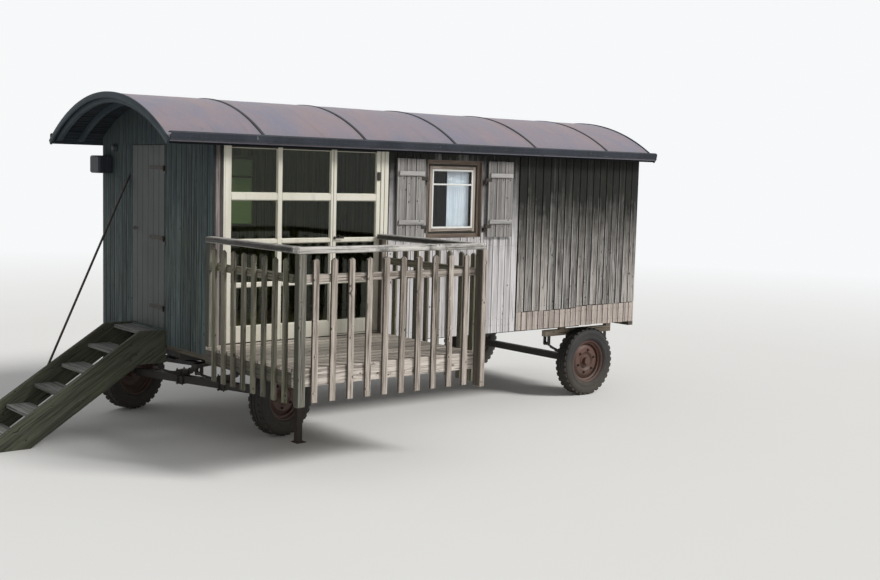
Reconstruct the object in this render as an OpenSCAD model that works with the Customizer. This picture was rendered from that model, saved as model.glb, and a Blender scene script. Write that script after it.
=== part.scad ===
// Shepherds hut: a boarded living wagon on four rubber-tyred wheels, with a
// barrel roof, a railed picket deck before a glazed bay, and a plank stair at
// the entrance end. The long side with the deck faces -Y, the entrance -X.

/* [Body] */
// Length of the body over its end walls
body_l = 6000; // [5800:10:6400]
// Width of the body over its long walls
body_w = 2500; // [2400:10:2600]
// Height of the cladding's lower edge above the ground
clad_z = 900; // [890:5:960]
// Height of the long walls, from that edge to the eaves
wall_h = 2045; // [2000:5:2200]
// Thickness of the walls
wall_t = 90; // [70:5:110]
// Floor surface above the cladding's lower edge
floor_rise = 120; // [110:5:130]

/* [Roof] */
// Rise of the roof arch above the eaves
roof_rise = 467; // [400:5:540]
// Roof overhang past each long wall
eave_out = 150; // [110:5:180]
// Roof overhang over the entrance end
porch_out = 520; // [420:10:640]
// Roof overhang at the other end
back_out = 120; // [60:5:200]
// Thickness of the roof shell
roof_t = 45; // [35:1:60]
// Height of the arched end boards
arch_board_h = 60; // [50:5:90]
// Height of the eave boards
eave_board_h = 90; // [70:5:120]

/* [Glazed bay] */
// Left edge of the bay frame, from the corner
bay_x = 135; // [110:5:180]
// Width of the bay frame
bay_w = 1885; // [1800:5:1900]
// Width of the bay's left post
bay_post = 70; // [50:5:90]
// Right edge of the first pane column
column_1_x = 720; // [700:5:740]
// Right edge of the second pane column
column_2_x = 1348; // [1330:2:1360]
// Width of a bay mullion
mullion = 52; // [40:2:60]
// Height of the bay's bottom rail
bottom_rail = 156; // [120:2:180]
// Height of the transom under the top panes
transom = 68; // [50:2:90]
// Height of the glass in the top row
top_pane_h = 434; // [400:2:450]
// Height of a glazing bar
glazing_bar = 40; // [30:2:50]

/* [Small window] */
// Left edge of the opening in the front wall
window_x = 2585; // [2570:5:2600]
// Width of the opening
window_w = 790; // [770:5:800]
// Sill height above the cladding's lower edge
window_z = 1100; // [1080:5:1120]
// Height of the opening
window_h = 850; // [820:5:860]
// Width of one board shutter
shutter_w = 383; // [370:1:384]
// Height of the shutters
shutter_h = 846; // [800:2:850]

/* [Doors] */
// Distance of the entrance door's near jamb from the front
entry_y = 960; // [940:5:980]
// Width of the entrance door frame
entry_w = 830; // [800:5:850]
// Thickness of a door leaf
leaf_t = 40; // [36:1:45]
// Clearance round a moving leaf
leaf_gap = 6; // [5:1:8]

/* [Deck] */
// Depth of the deck in front of the wall
deck_d = 1520; // [1400:10:1560]
// Left edge of the deck, from the corner
deck_x = -70; // [-80:2:-50]
// Length of the deck along the wall
deck_l = 2080; // [2040:5:2100]
// Height of the deck surface above the cladding's lower edge
deck_rise = 110; // [100:2:120]
// Height of the handrail above the deck
rail_h = 1046; // [1000:2:1100]
// Height of the lower rail's top above the deck
mid_rail_h = 806; // [780:2:830]
// Width of a picket
picket_w = 60; // [50:2:66]
// Thickness of a picket
picket_t = 26; // [22:1:30]
// Number of pickets along the front
front_pickets = 10; // [8:1:11]
// Number of pickets on each side
side_pickets = 8; // [6:1:8]

/* [Stair] */
// Width of the stair between its stringers
stair_w = 755; // [740:5:770]
// Rise of one step
step_rise = 185; // [180:1:190]
// Run of one step
step_run = 285; // [270:1:300]
// Number of treads below the landing board
treads = 5; // [5:1:5]
// Depth of a stringer plank
stringer_d = 280; // [260:5:300]
// Thickness of a stringer plank
stringer_t = 45; // [38:1:50]

/* [Wheels] */
// Outer radius of a tyre
tyre_r = 420; // [400:1:420]
// Width of a tyre
tyre_w = 190; // [170:2:200]
// Radius of the rim at the tyre's bead
rim_r = 262; // [240:1:270]
// Half the distance between the wheel centres of an axle
half_track = 1083; // [1070:1:1090]
// Place of the front axle's kingpin along the body
kingpin_x = 585; // [575:5:620]
// Place of the rear axle along the body
rear_axle_x = 5300; // [5250:10:5330]
// Angle to which the front axle is turned
steer = 18; // [0:1:20]

/* [Hidden] */

eave_z = clad_z + wall_h;
floor_z = clad_z + floor_rise;
deck_z = clad_z + deck_rise;
roof_half = body_w / 2 + eave_out;
roof_r = (roof_half * roof_half + roof_rise * roof_rise) / (2 * roof_rise);
arch_y = body_w / 2;
arch_z = eave_z + roof_rise - roof_r;
arch_fn = 720;
edge_t = 22;            // thickness of the roof's edge boards
seat = 1;               // gap where curved faces meet

bay_r = bay_x + bay_w;
bay_z0 = clad_z + 115;
bay_z1 = eave_z;
bay_face = 15;          // the bay frame's face lies this far behind the wall's
bay_t = 45;
glass_t = 6;
deck_door_x0 = column_2_x + 27;
deck_door_x1 = bay_r - 45;
door_stile = 37;
free_gap = leaf_gap + 2; // clearance at a leaf's free edge, whose corner swings out a little
row_top = bay_z1 - 43;
row_transom = row_top - top_pane_h;
row_low = bay_z0 + bottom_rail;
row_h = (row_transom - transom - row_low - 2 * glazing_bar) / 3;
rows = [for (i = [0:2]) [row_low + i * (row_h + glazing_bar), row_h], [row_transom, top_pane_h]];

joint_x = 3940;         // open joint between the two lengths of front boarding
joint_gap = 12;
front_board_x = bay_r;

jamb = 40;
sill_z = clad_z + 130;
entry_top = eave_z - 25;
landing_z = sill_z;
stringer_top = sill_z + 20;
stair_y = entry_y + (entry_w - stair_w) / 2;
rod_d = 24;

deck_t = 28;
fascia_h = 160;
fascia_t = 28;
post_w = 70;
handrail_t = 55;
handrail_w = 100;
mid_rail_t = 45;
mid_rail_w = 70;
joist_w = 60;
arm_h = 50;
picket_drop = 141;      // pickets hang this far below the fascia
picket_top = deck_z + rail_h - 100;
picket_bottom = deck_z - fascia_h - picket_drop;

beam_half = 400;        // outer faces of the chassis beams from the centre line
beam_z0 = 740;
beam_w = 65;
beam_web = 8;
beam_flange = 12;
chassis_in = 97;        // the chassis ends this far inside the body, behind the end sills
bearer_w = 80;
sill_in = 8;
sill_h = 50;
bearer_pitch = (body_l - 2 * wall_t - bearer_w) / 7;
axle_z = tyre_r;
axle_half = 40;         // half the side of the square axle
pin_r = 30;
pin_clear = 0.06;
kingpin_r = 25;
table_z = beam_z0 - 5;  // top of the turning front frame
rail_z = beam_z0 - 80;
leaf_n = 5;             // leaves of a spring
leaf_h = 10;
spring_w = 60;
spring_y_front = 300;
spring_y_rear = 920;
spring_beam_z = 742;
spring_beam_h = 75;
spring_beam_x = rear_axle_x - 560;
spring_beam_l = 1170;

entry_hinge = [-16, entry_y + jamb + leaf_gap / 2];
entry_hinge_z = [1250, 1960, 2670];
deck_hinge = [deck_door_x1 - leaf_gap / 2, bay_face + bay_t + 8.3];
deck_hinge_z = [1230, 1950, 2700];
knuckle_h = 22;
strap_h = 36;
strap_t = 6;
hinge_pin_r = 6;
eye_wall = 7;

shutter_t = 24;
shutter_y = -24;        // middle plane of both shutters
shutter_z = clad_z + window_z + 5;
shutter_hinge_z = [100, 620];
hinge_reach = 30;
shutter_left_x = 2561;
shutter_right_x = 3405;

back_window_x = 1100;
back_window_w = 800;
sash_w = 45;
curtain_y = 110;        // middle plane of the curtains
curtain_t = 26;
curtain_z0 = clad_z + window_z + 70;
curtain_z1 = clad_z + window_z + window_h - 40;

level_x = -290;         // the stringers' tops are level from here to the wall
step_slope = step_rise / step_run;
stair_foot_x = level_x - stringer_top / step_slope;
rail_over = 10;         // the handrails stand this far over their posts
x_min = stair_foot_x;
x_max = body_l + back_out + edge_t;
y_min = -deck_d - fascia_t - post_w - rail_over;
y_max = body_w / 2 + roof_half + edge_t;
mid_x = (x_min + x_max) / 2;
mid_y = (y_min + y_max) / 2;

$fn = 96;

// Puts a piece drawn from the near corner of the body into the part's frame.
module placed() {
    translate([-mid_x, -mid_y, 0]) children();
}

// A disc sector of the roof arch: from the ground line up to radius r.
module arch_solid(r, x, len) {
    intersection() {
        translate([x, arch_y, arch_z]) rotate([0, 90, 0]) cylinder(r = r, h = len, $fn = arch_fn);
        translate([x - 1, arch_y - roof_half - 1, eave_z]) cube([len + 2, 2 * roof_half + 2, roof_rise + 200]);
    }
}

// A curved strip between two radii of the roof arch.
module arch_strip(r_out, r_in, x, len) {
    difference() {
        arch_solid(r_out, x, len);
        translate([x - 1, arch_y, arch_z]) rotate([0, 90, 0]) cylinder(r = r_in, h = len + 2, $fn = arch_fn);
    }
}

// A steel channel along X with its web at y = 0 and its flanges towards +Y.
module channel(len) {
    h = clad_z - beam_z0;
    cube([len, beam_web, h]);
    for (z = [0, h - beam_flange])
        translate([0, 0, z]) cube([len, beam_w, beam_flange]);
}

module chassis_beams() {
    color("#2b2d30") placed()
        translate([chassis_in, body_w / 2, beam_z0])
            for (flip = [0, 1])
                mirror([0, flip, 0]) translate([0, -beam_half, 0]) channel(body_l - 2 * chassis_in);
}

// Crossbars between the beams' webs, and the kingpin on its plate.
module chassis_crossbars() {
    inner = 2 * (beam_half - beam_web);
    bar_w = 60;
    color("#2b2d30") placed() {
        for (x = [chassis_in, 1500, 2900, 4300, body_l - chassis_in - bar_w])
            translate([x, body_w / 2 - inner / 2, beam_z0 + 30]) cube([bar_w, inner, 90]);
        translate([kingpin_x, body_w / 2, beam_z0 + beam_flange]) {
            translate([-150, -inner / 2, 0]) cube([300, inner, 16]);
            translate([0, 0, -beam_flange - 100]) cylinder(r = kingpin_r, h = beam_flange + 101);
        }
    }
}

module floor_bearers() {
    color("#8f877a") placed() {
        for (i = [0:7])
            translate([wall_t + i * bearer_pitch, wall_t, clad_z])
                cube([bearer_w, body_w - 2 * wall_t, floor_rise - 45]);
        for (x = [sill_in, body_l - sill_in - bearer_w])
            translate([x, 0, clad_z - sill_h]) cube([bearer_w, body_w, sill_h]);
    }
}

module cabin_floor() {
    color("#9c8c74") placed()
        translate([wall_t, wall_t, floor_z - 45]) cube([body_l - 2 * wall_t, body_w - 2 * wall_t, 45]);
}

module front_wall_left() {
    color("#8a8378") placed() {
        translate([0, 0, clad_z]) cube([bay_x, wall_t, wall_h]);
        difference() {
            translate([front_board_x, 0, clad_z]) cube([joint_x - front_board_x, wall_t, wall_h]);
            translate([window_x, -1, clad_z + window_z]) cube([window_w, wall_t + 2, window_h]);
        }
    }
}

module front_wall_right() {
    color("#7d766b") placed()
        translate([joint_x + joint_gap, 0, clad_z]) cube([body_l - joint_x - joint_gap, wall_t, wall_h]);
}

module end_wall_near() {
    color("#4f5559") placed()
        translate([0, wall_t, clad_z]) cube([wall_t, entry_y - wall_t, entry_top - clad_z]);
}

module end_wall_far() {
    y0 = entry_y + entry_w;
    color("#4f5559") placed()
        translate([0, y0, clad_z]) cube([wall_t, body_w - wall_t - y0, entry_top - clad_z]);
}

module end_wall_arch() {
    color("#4f5559") placed() {
        translate([0, wall_t, entry_top]) cube([wall_t, body_w - 2 * wall_t, eave_z - entry_top]);
        intersection() {
            arch_solid(roof_r - roof_t - seat, 0, wall_t);
            translate([-1, 0, eave_z - 1]) cube([wall_t + 2, body_w, roof_rise + 1]);
        }
    }
}

module rear_end_wall() {
    color("#7d766b") placed()
        translate([body_l - wall_t, 0, 0]) {
            translate([0, wall_t, clad_z]) cube([wall_t, body_w - 2 * wall_t, wall_h]);
            intersection() {
                arch_solid(roof_r - roof_t - seat, 0, wall_t);
                translate([-1, 0, eave_z - 1]) cube([wall_t + 2, body_w, roof_rise + 1]);
            }
        }
}

module back_wall() {
    color("#7d766b") placed()
        difference() {
            translate([0, body_w - wall_t, clad_z]) cube([body_l, wall_t, wall_h]);
            translate([back_window_x, body_w - wall_t - 1, clad_z + window_z])
                cube([back_window_w, wall_t + 2, window_h]);
        }
}

module roof() {
    color("#6f6266") placed()
        arch_strip(roof_r, roof_r - roof_t, -porch_out, body_l + porch_out + back_out);
}

module roof_bows() {
    color("#3a3c40") placed()
        for (x = [-porch_out + 20, -porch_out / 2])
            arch_strip(roof_r - roof_t - seat, roof_r - roof_t - 50, x, 40);
}

module arched_boards() {
    color("#20242c") placed()
        for (x = [-porch_out - edge_t, body_l + back_out])
            arch_strip(roof_r + 8, roof_r + 8 - arch_board_h, x, edge_t);
}

module eave_boards() {
    len = body_l + porch_out + back_out;
    color("#2a2c31") placed()
        for (y = [-eave_out - edge_t, body_w + eave_out])
            translate([-porch_out, y, eave_z - 10]) cube([len, edge_t, eave_board_h]);
}

// The three lower rows and the top row of panes of one column of the bay.
module pane_holes(x0, x1, y0, t) {
    for (row = rows)
        translate([x0, y0, row[0]]) cube([x1 - x0, t, row[1]]);
}

module bay_frame() {
    color("#e1d7be") placed()
        difference() {
            translate([bay_x, bay_face, bay_z0]) cube([bay_w, bay_t, bay_z1 - bay_z0]);
            pane_holes(bay_x + bay_post, column_1_x, bay_face - 1, bay_t + 2);
            pane_holes(column_1_x + mullion, column_2_x, bay_face - 1, bay_t + 2);
            translate([deck_door_x0, bay_face - 1, bay_z0 + 10])
                cube([deck_door_x1 - deck_door_x0, bay_t + 2, row_top - bay_z0 + 10]);
        }
}

module window_glass() {
    y0 = bay_face + 25;
    color("#9fb4b0", 0.4) placed() {
        pane_holes(bay_x + bay_post, column_1_x, y0, glass_t);
        pane_holes(column_1_x + mullion, column_2_x, y0, glass_t);
        translate([window_x + sash_w, 55, clad_z + window_z + sash_w])
            cube([window_w - 2 * sash_w, glass_t, window_h - 2 * sash_w]);
        translate([back_window_x + sash_w, body_w - 60, clad_z + window_z + sash_w])
            cube([back_window_w - 2 * sash_w, glass_t, window_h - 2 * sash_w]);
    }
}

// A plain rectangular window frame with its outer corner at the origin.
module frame_ring(w, h) {
    difference() {
        cube([w, sash_w, h]);
        translate([sash_w, -1, sash_w]) cube([w - 2 * sash_w, sash_w + 2, h - 2 * sash_w]);
    }
}

// Both window frames, and the curtain rod on its two brackets.
module window_frames() {
    rod_x0 = window_x - 30;
    rod_l = window_w + 60;
    color("#e6e2d6") placed() {
        translate([window_x, 35, clad_z + window_z]) frame_ring(window_w, window_h);
        translate([back_window_x, body_w - 80, clad_z + window_z]) frame_ring(back_window_w, window_h);
        translate([rod_x0, curtain_y, curtain_z1 + 15]) {
            rotate([0, 90, 0]) cylinder(d = 12, h = rod_l, $fn = 32);
            for (x = [0, rod_l - 12])
                translate([x, wall_t - curtain_y, -8]) cube([12, curtain_y - wall_t, 16]);
        }
    }
}

// Two gathered curtains behind the small window.
module window_curtains() {
    color("#dfe6ee") placed()
        for (span = [[window_x + 15, 140], [window_x + 365, 300]])
            translate([span[0], curtain_y - curtain_t / 2, curtain_z0])
                cube([span[1], curtain_t, curtain_z1 - curtain_z0]);
}

module door_frame() {
    color("#55524c") placed()
        translate([0, entry_y, 0]) {
            translate([0, 0, sill_z - 20]) cube([wall_t, jamb, entry_top - sill_z + 20]);
            translate([0, entry_w - jamb, sill_z - 20]) cube([wall_t, jamb, entry_top - sill_z + 20]);
            translate([0, jamb, sill_z - 30]) cube([wall_t, entry_w - 2 * jamb, 50]);
        }
}

// The eye of a hinge, with its bore's axis at the origin.
module eye(h) {
    difference() {
        cylinder(r = hinge_pin_r + eye_wall, h = h, $fn = 48);
        translate([0, 0, -1]) cylinder(r = hinge_pin_r + pin_clear, h = h + 2, $fn = 48);
    }
}

// A pin that stands on an arm from a wall face at y = reach. The eye that it
// carries starts at z = 0. The arm and its plate span x by arm and plate.
module pintle(reach, arm, plate) {
    arm_h = 16;
    translate([0, 0, -arm_h - 1]) cylinder(r = hinge_pin_r, h = arm_h + 1 + strap_h + 6, $fn = 48);
    translate([arm[0], -hinge_pin_r, -arm_h - 1]) cube([arm[1] - arm[0], reach + hinge_pin_r, arm_h]);
    translate([plate[0], reach - strap_t, -46]) cube([plate[1] - plate[0], strap_t, 44]);
}

module entrance_door() {
    y0 = entry_y + jamb + leaf_gap;
    z0 = sill_z + 28;
    color("#4a4f52") placed() {
        translate([0, y0, z0])
            cube([leaf_t, entry_w - 2 * jamb - leaf_gap - free_gap, entry_top - z0 - leaf_gap]);
        for (z = entry_hinge_z)
            translate([entry_hinge[0], entry_hinge[1], z]) {
                eye(strap_h);
                translate([-entry_hinge[0] - strap_t, 0, 0]) cube([strap_t, 330, strap_h]);
            }
    }
}

module deck_door() {
    x0 = deck_door_x0 + free_gap;
    x1 = deck_door_x1 - leaf_gap;
    z0 = bay_z0 + 16;
    color("#e1d7be") placed() {
        difference() {
            translate([x0, bay_face + 5, z0]) cube([x1 - x0, leaf_t, row_top + 14 - z0]);
            pane_holes(x0 + door_stile, x1 - door_stile, bay_face, leaf_t + 10);
        }
        for (z = deck_hinge_z)
            translate([deck_hinge[0], deck_hinge[1], z + knuckle_h + 1])
                difference() {
                    union() {
                        cylinder(r = 8, h = knuckle_h, $fn = 48);
                        translate([-40, -8.3, 0]) cube([40, 3, knuckle_h]);
                    }
                    translate([0, 0, -1]) cylinder(r = 3 + pin_clear, h = knuckle_h + 2, $fn = 48);
                }
    }
}

// What the moving leaves hang on: pintles for the entrance door and the
// shutters, and the fixed halves of the deck door's hinges.
module hinge_pins() {
    color("#2a2623") placed() {
        for (z = entry_hinge_z)
            translate([entry_hinge[0], entry_hinge[1], z]) rotate([0, 0, -90])
                pintle(-entry_hinge[0], [0, 10], [3, 33]);
        for (x = [shutter_left_x, shutter_right_x], z = shutter_hinge_z)
            translate([x, shutter_y, shutter_z + z]) pintle(-shutter_y, [-10, 10], [-20, 20]);
        for (z = deck_hinge_z)
            translate([deck_hinge[0], deck_hinge[1], z]) {
                cylinder(r = 3, h = 3 * knuckle_h + 2, $fn = 48);
                for (lift = [0, 2 * knuckle_h + 2])
                    translate([0, 0, lift]) {
                        cylinder(r = 8, h = knuckle_h, $fn = 48);
                        translate([0, -8.3, 0]) cube([34, 3, knuckle_h]);
                    }
            }
    }
}

module deck_door_glass() {
    color("#9fb4b0", 0.4) placed()
        pane_holes(deck_door_x0 + free_gap + door_stile, deck_door_x1 - leaf_gap - door_stile,
            bay_face + 22, glass_t);
}

// One board shutter, drawn from its hinge line towards +X.
module shutter_leaf() {
    front = -shutter_t / 2;
    translate([hinge_reach, front, 0]) cube([shutter_w, shutter_t, shutter_h]);
    for (z = [170, 690])
        translate([hinge_reach + 20, front - 20, z - 25]) cube([shutter_w - 40, 21, 50]);
    for (z = shutter_hinge_z)
        translate([0, 0, z]) {
            eye(strap_h);
            translate([0, front - strap_t + 1, 0]) cube([200, strap_t, strap_h]);
        }
}

module shutter_left() {
    color("#938c82") placed()
        translate([shutter_left_x, shutter_y, shutter_z]) mirror([1, 0, 0]) shutter_leaf();
}

module shutter_right() {
    color("#938c82") placed()
        translate([shutter_right_x, shutter_y, shutter_z]) shutter_leaf();
}

module porch_fittings() {
    color("#23272e") placed() {
        translate([-45, 2153, 2885]) rotate([0, 90, 0]) cylinder(d = 85, h = 45, $fn = 48);
        translate([-150, 2240, 2610]) cube([150, 240, 190]);
    }
}

module deck_boards() {
    color("#b5ae9f") placed()
        translate([deck_x, -deck_d, deck_z - deck_t]) cube([deck_l, deck_d, deck_t]);
}

module deck_fascia() {
    color("#8b8877") placed()
        translate([deck_x, -deck_d - fascia_t, deck_z - fascia_h]) cube([deck_l, fascia_t, fascia_h]);
}

// Joists that carry the deck. Those under the cabin run on, notched, to the
// chassis beam.
module deck_joists() {
    reach = body_w / 2 - beam_half;
    pitch = (deck_l - joist_w) / 3;
    color("#6d6a5c") placed()
        for (i = [0:3])
            translate([deck_x + i * pitch, 0, clad_z - arm_h]) {
                translate([0, -deck_d, 0]) cube([joist_w, deck_d, deck_rise - deck_t + arm_h]);
                if (i > 0) translate([0, -1, 0]) cube([joist_w, reach + 1, arm_h]);
            }
}

module deck_posts() {
    top = deck_z + rail_h - handrail_t;
    h = top - picket_bottom + 20;
    color("#9a968a") placed() {
        translate([deck_x, -deck_d - fascia_t - post_w, top - h]) cube([80, post_w, h]);
        translate([deck_x + deck_l - 60, -deck_d - fascia_t - 110, top - h]) cube([60, 110, h]);
        for (x = [deck_x, deck_x + deck_l - 60])
            translate([x, -62, deck_z]) cube([60, 60, top - deck_z]);
    }
}

// A pointed picket, standing at the origin with its face towards -Y.
module picket() {
    h = picket_top - picket_bottom;
    translate([-picket_w / 2, 0, 0]) rotate([90, 0, 0])
        linear_extrude(picket_t)
            polygon([[0, 0], [picket_w, 0], [picket_w, h - 20], [picket_w / 2, h], [0, h - 20]]);
}

module railing_front() {
    x0 = deck_x + 80;
    len = deck_l - 140;
    pitch = len / (front_pickets + 0.3);
    face = -deck_d - fascia_t;
    color("#8e897c") placed() {
        translate([x0 + 1, face, deck_z + mid_rail_h - mid_rail_w])
            cube([len - 2, mid_rail_t, mid_rail_w]);
        for (i = [0:front_pickets - 1])
            translate([x0 + (i + 0.65) * pitch, face, picket_bottom]) picket();
    }
}

// One side railing: a rail and its pickets, drawn outwards from the wall.
module side_panel() {
    len = deck_d - 70;
    pitch = len / (side_pickets + 0.2);
    translate([0, -len - 64, deck_z + mid_rail_h - mid_rail_w]) cube([mid_rail_t, len, mid_rail_w]);
    for (i = [0:side_pickets - 1])
        translate([0, -62 - (i + 0.75) * pitch, picket_bottom]) rotate([0, 0, -90]) picket();
}

module railing_sides() {
    color("#7f7f6c") placed() {
        translate([deck_x, 0, 0]) side_panel();
        translate([deck_x + deck_l, 0, 0]) mirror([1, 0, 0]) side_panel();
    }
}

module handrails() {
    z = deck_z + rail_h - handrail_t;
    front = -deck_d - fascia_t - post_w;
    color("#b3ada0") placed() {
        translate([deck_x - rail_over, front - rail_over, z])
            cube([deck_l + 2 * rail_over, handrail_w, handrail_t]);
        for (x = [deck_x - rail_over, deck_x + deck_l + rail_over - handrail_w])
            translate([x, front - rail_over + handrail_w + 2, z])
                cube([handrail_w, -front + rail_over - handrail_w - 2, handrail_t]);
    }
}

module deck_prop() {
    x = 845;
    y = -200;
    color("#33302d") placed() {
        translate([x, y, 8]) cube([60, 8, clad_z - 58]);
        translate([x, y, 8]) cube([8, 60, clad_z - 58]);
        translate([x - 20, y - 30, 0]) cube([110, 110, 8]);
    }
}

// A stringer plank, cut level at the ground and at the door sill.
module stringer_plank() {
    drop = stringer_d / cos(atan(step_slope));
    foot_in = level_x - (stringer_top - drop) / step_slope;
    rotate([90, 0, 0]) linear_extrude(stringer_t)
        polygon([[stair_foot_x, 0], [foot_in, 0], [level_x, stringer_top - drop], [-2, stringer_top - drop],
            [-2, stringer_top], [level_x, stringer_top]]);
}

module stair_stringers() {
    color("#4b4a40") placed()
        for (y = [stair_y, stair_y + stair_w + stringer_t])
            translate([0, y, 0]) stringer_plank();
}

module stair_treads() {
    color("#6b675f") placed()
        for (i = [0:treads])
            translate([-205 - i * step_run, stair_y + 1, landing_z - i * step_rise - 38])
                cube([i == 0 ? 203 : 240, stair_w - 2, 38]);
}

// A steel rod from the far stringer's outer face up to the end wall.
module stair_hand_rod() {
    y = stair_y + stair_w + stringer_t + rod_d / 2;
    foot = [-905, y, 610];
    head = [0, y, 2600];
    d = head - foot;
    color("#1f2023") placed()
        difference() {
            translate(foot) rotate([0, atan2(d[0], d[2]), 0]) cylinder(d = rod_d, h = norm(d) + rod_d, $fn = 24);
            translate([0, y - rod_d, head[2] - 3 * rod_d]) cube(6 * rod_d);
        }
}

module turned() {
    translate([kingpin_x, body_w / 2, 0]) rotate([0, 0, steer]) children();
}

// Height of a spring's main leaf above its middle, at x along it.
function camber(x, half, rise) = rise * x * x / (half * half);

// Half the length of leaf i, the main leaf being leaf 0.
function leaf_half(i, half) = half * (1 - 0.17 * i);

// A pack of curved leaves, longest on top, with its main leaf's top at the
// origin in the middle and its ends raised by rise.
module leaf_pack(half, rise) {
    steps = 8;
    top = [for (i = [-steps:steps]) let (x = i * half / steps) [x, camber(x, half, rise)]];
    side = [for (i = [0:leaf_n - 1], part = [0, 0.5, 1])
        let (x = leaf_half(i + part, half)) [x, camber(x, half, rise) - (i + 1) * leaf_h]];
    far_side = [for (i = [len(side) - 1:-1:0]) [-side[i][0], side[i][1]]];
    rotate([90, 0, 0]) linear_extrude(spring_w, center = true) polygon(concat(top, side, far_side));
}

// A leaf spring under a frame at the height top, on the axle at z = 0, with
// its eyes, hangers, clamp plates and clamp bolts.
module spring_set(half, rise, top) {
    seat_z = axle_half + leaf_n * leaf_h - 3;
    eye_z = seat_z + rise - leaf_h / 2;
    clamp = spring_w / 2 + 9;
    translate([0, 0, seat_z]) leaf_pack(half, rise);
    for (x = [-half, half])
        translate([x, 0, eye_z]) rotate([90, 0, 0]) {
            cylinder(r = 20, h = spring_w, center = true, $fn = 48);
            for (z = [-spring_w / 2 - 9, spring_w / 2 + 1])
                translate([0, 0, z]) {
                    cylinder(r = 24, h = 8, $fn = 48);
                    translate([-24, 0, 0]) cube([48, top - eye_z, 8]);
                }
            cylinder(r = 9, h = spring_w + 40, center = true, $fn = 32);
        }
    for (z = [-axle_half - 12, seat_z])
        translate([-65, -clamp - 8, z]) cube([130, 2 * clamp + 16, 12]);
    for (x = [-52, 52], y = [-clamp, clamp])
        translate([x, y, -axle_half - 22]) cylinder(r = 7, h = seat_z + axle_half + 50, $fn = 32);
}

// A square axle between two wheels, along Y through the origin, with a spring
// at each side up to the height top.
module axle_assembly(spring_y, half, rise, top) {
    beam = half_track - 100;
    translate([0, 0, axle_z]) {
        translate([-axle_half, -beam, -axle_half]) cube([2 * axle_half, 2 * beam, 2 * axle_half]);
        rotate([90, 0, 0]) cylinder(r = pin_r, h = 2 * half_track + 120, center = true);
        for (side = [-1, 1])
            translate([0, side * spring_y, 0]) spring_set(half, rise, top - axle_z);
    }
}

// The turning front frame: axle, springs, rails and crossbars, and the ring
// and socket that turn about the kingpin.
module front_axle() {
    rail_l = 900;
    rail_w = 80;
    rail_t = 40;
    color("#2b2d30") placed()
        turned() difference() {
            union() {
                axle_assembly(spring_y_front, 380, 90, rail_z + 1);
                for (y = [-spring_y_front, spring_y_front])
                    translate([-rail_l / 2, y - rail_w / 2, rail_z]) cube([rail_l, rail_w, rail_t]);
                for (x = [-330, 0, 330])
                    translate([x - rail_w / 2, -spring_y_front, rail_z])
                        cube([rail_w, 2 * spring_y_front, rail_t]);
                translate([0, 0, rail_z + rail_t - 1]) difference() {
                    cylinder(r = 330, h = table_z - rail_z - rail_t + 1);
                    translate([0, 0, -1]) cylinder(r = 262, h = table_z);
                }
                translate([0, 0, rail_z]) cylinder(r = 60, h = table_z - rail_z);
            }
            translate([0, 0, rail_z - 1]) cylinder(r = kingpin_r + 0.3, h = table_z);
        }
}

module rear_axle() {
    color("#2b2d30") placed()
        translate([rear_axle_x, body_w / 2, 0])
            axle_assembly(spring_y_rear, 500, 150, spring_beam_z);
}

// Timbers that carry the rear springs, packed down from the floor bearers.
module spring_beams() {
    color("#b5ae9f") placed()
        for (side = [-1, 1])
            translate([0, body_w / 2 + side * spring_y_rear - spring_w / 2, 0]) {
                translate([spring_beam_x, 0, spring_beam_z]) cube([spring_beam_l, spring_w, spring_beam_h]);
                for (i = [6, 7])
                    translate([wall_t + i * bearer_pitch, 0, spring_beam_z + spring_beam_h - 1])
                        cube([bearer_w, spring_w, clad_z - spring_beam_z - spring_beam_h + 1]);
            }
}

// A tyre about the Y axis through the origin.
module tyre() {
    half = tyre_w / 2;
    rotate([90, 0, 0]) rotate_extrude($fn = 120)
        polygon([[rim_r + 1, -half + 25], [rim_r + 18, -half + 6], [(rim_r + tyre_r) / 2, -half],
            [tyre_r - 30, -half + 6], [tyre_r - 8, -half + 22], [tyre_r, -half + 55],
            [tyre_r, half - 55], [tyre_r - 8, half - 22], [tyre_r - 30, half - 6],
            [(rim_r + tyre_r) / 2, half], [rim_r + 18, half - 6], [rim_r + 1, half - 25]]);
}

// A dished steel rim about the Y axis, its open face towards -Y: the bead
// seats and drop centre, the dished disc, and the hub with its cap.
module rim() {
    half = tyre_w / 2 - 25;
    well = rim_r - 34;
    hub_r = 75;
    cap_r = 50;
    rotate([90, 0, 0]) rotate_extrude($fn = 120) {
        polygon([[rim_r, half], [rim_r, half - 10], [rim_r - 12, half - 16], [rim_r - 16, half - 36],
            [well, half - 46], [well, 46 - half], [rim_r - 16, 36 - half], [rim_r - 12, 16 - half],
            [rim_r, 10 - half], [rim_r, -half], [rim_r - 10, -half], [rim_r - 21, 12 - half],
            [rim_r - 24, 32 - half], [well - 9, 40 - half], [well - 9, half - 40], [rim_r - 24, half - 32],
            [rim_r - 21, half - 12], [rim_r - 10, half]]);
        polygon([[well - 5, -12], [well - 5, 0], [172, 30], [118, 34], [92, 16], [hub_r - 5, 16],
            [hub_r - 5, 6], [96, 6], [121, 24], [168, 20], [well - 14, -12]]);
        polygon([[pin_r + pin_clear, -50], [hub_r, -50], [hub_r, 20], [cap_r, 24], [cap_r, 62],
            [cap_r - 6, half], [0, half], [0, half - 6], [pin_r + pin_clear, half - 6]]);
    }
}

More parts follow.
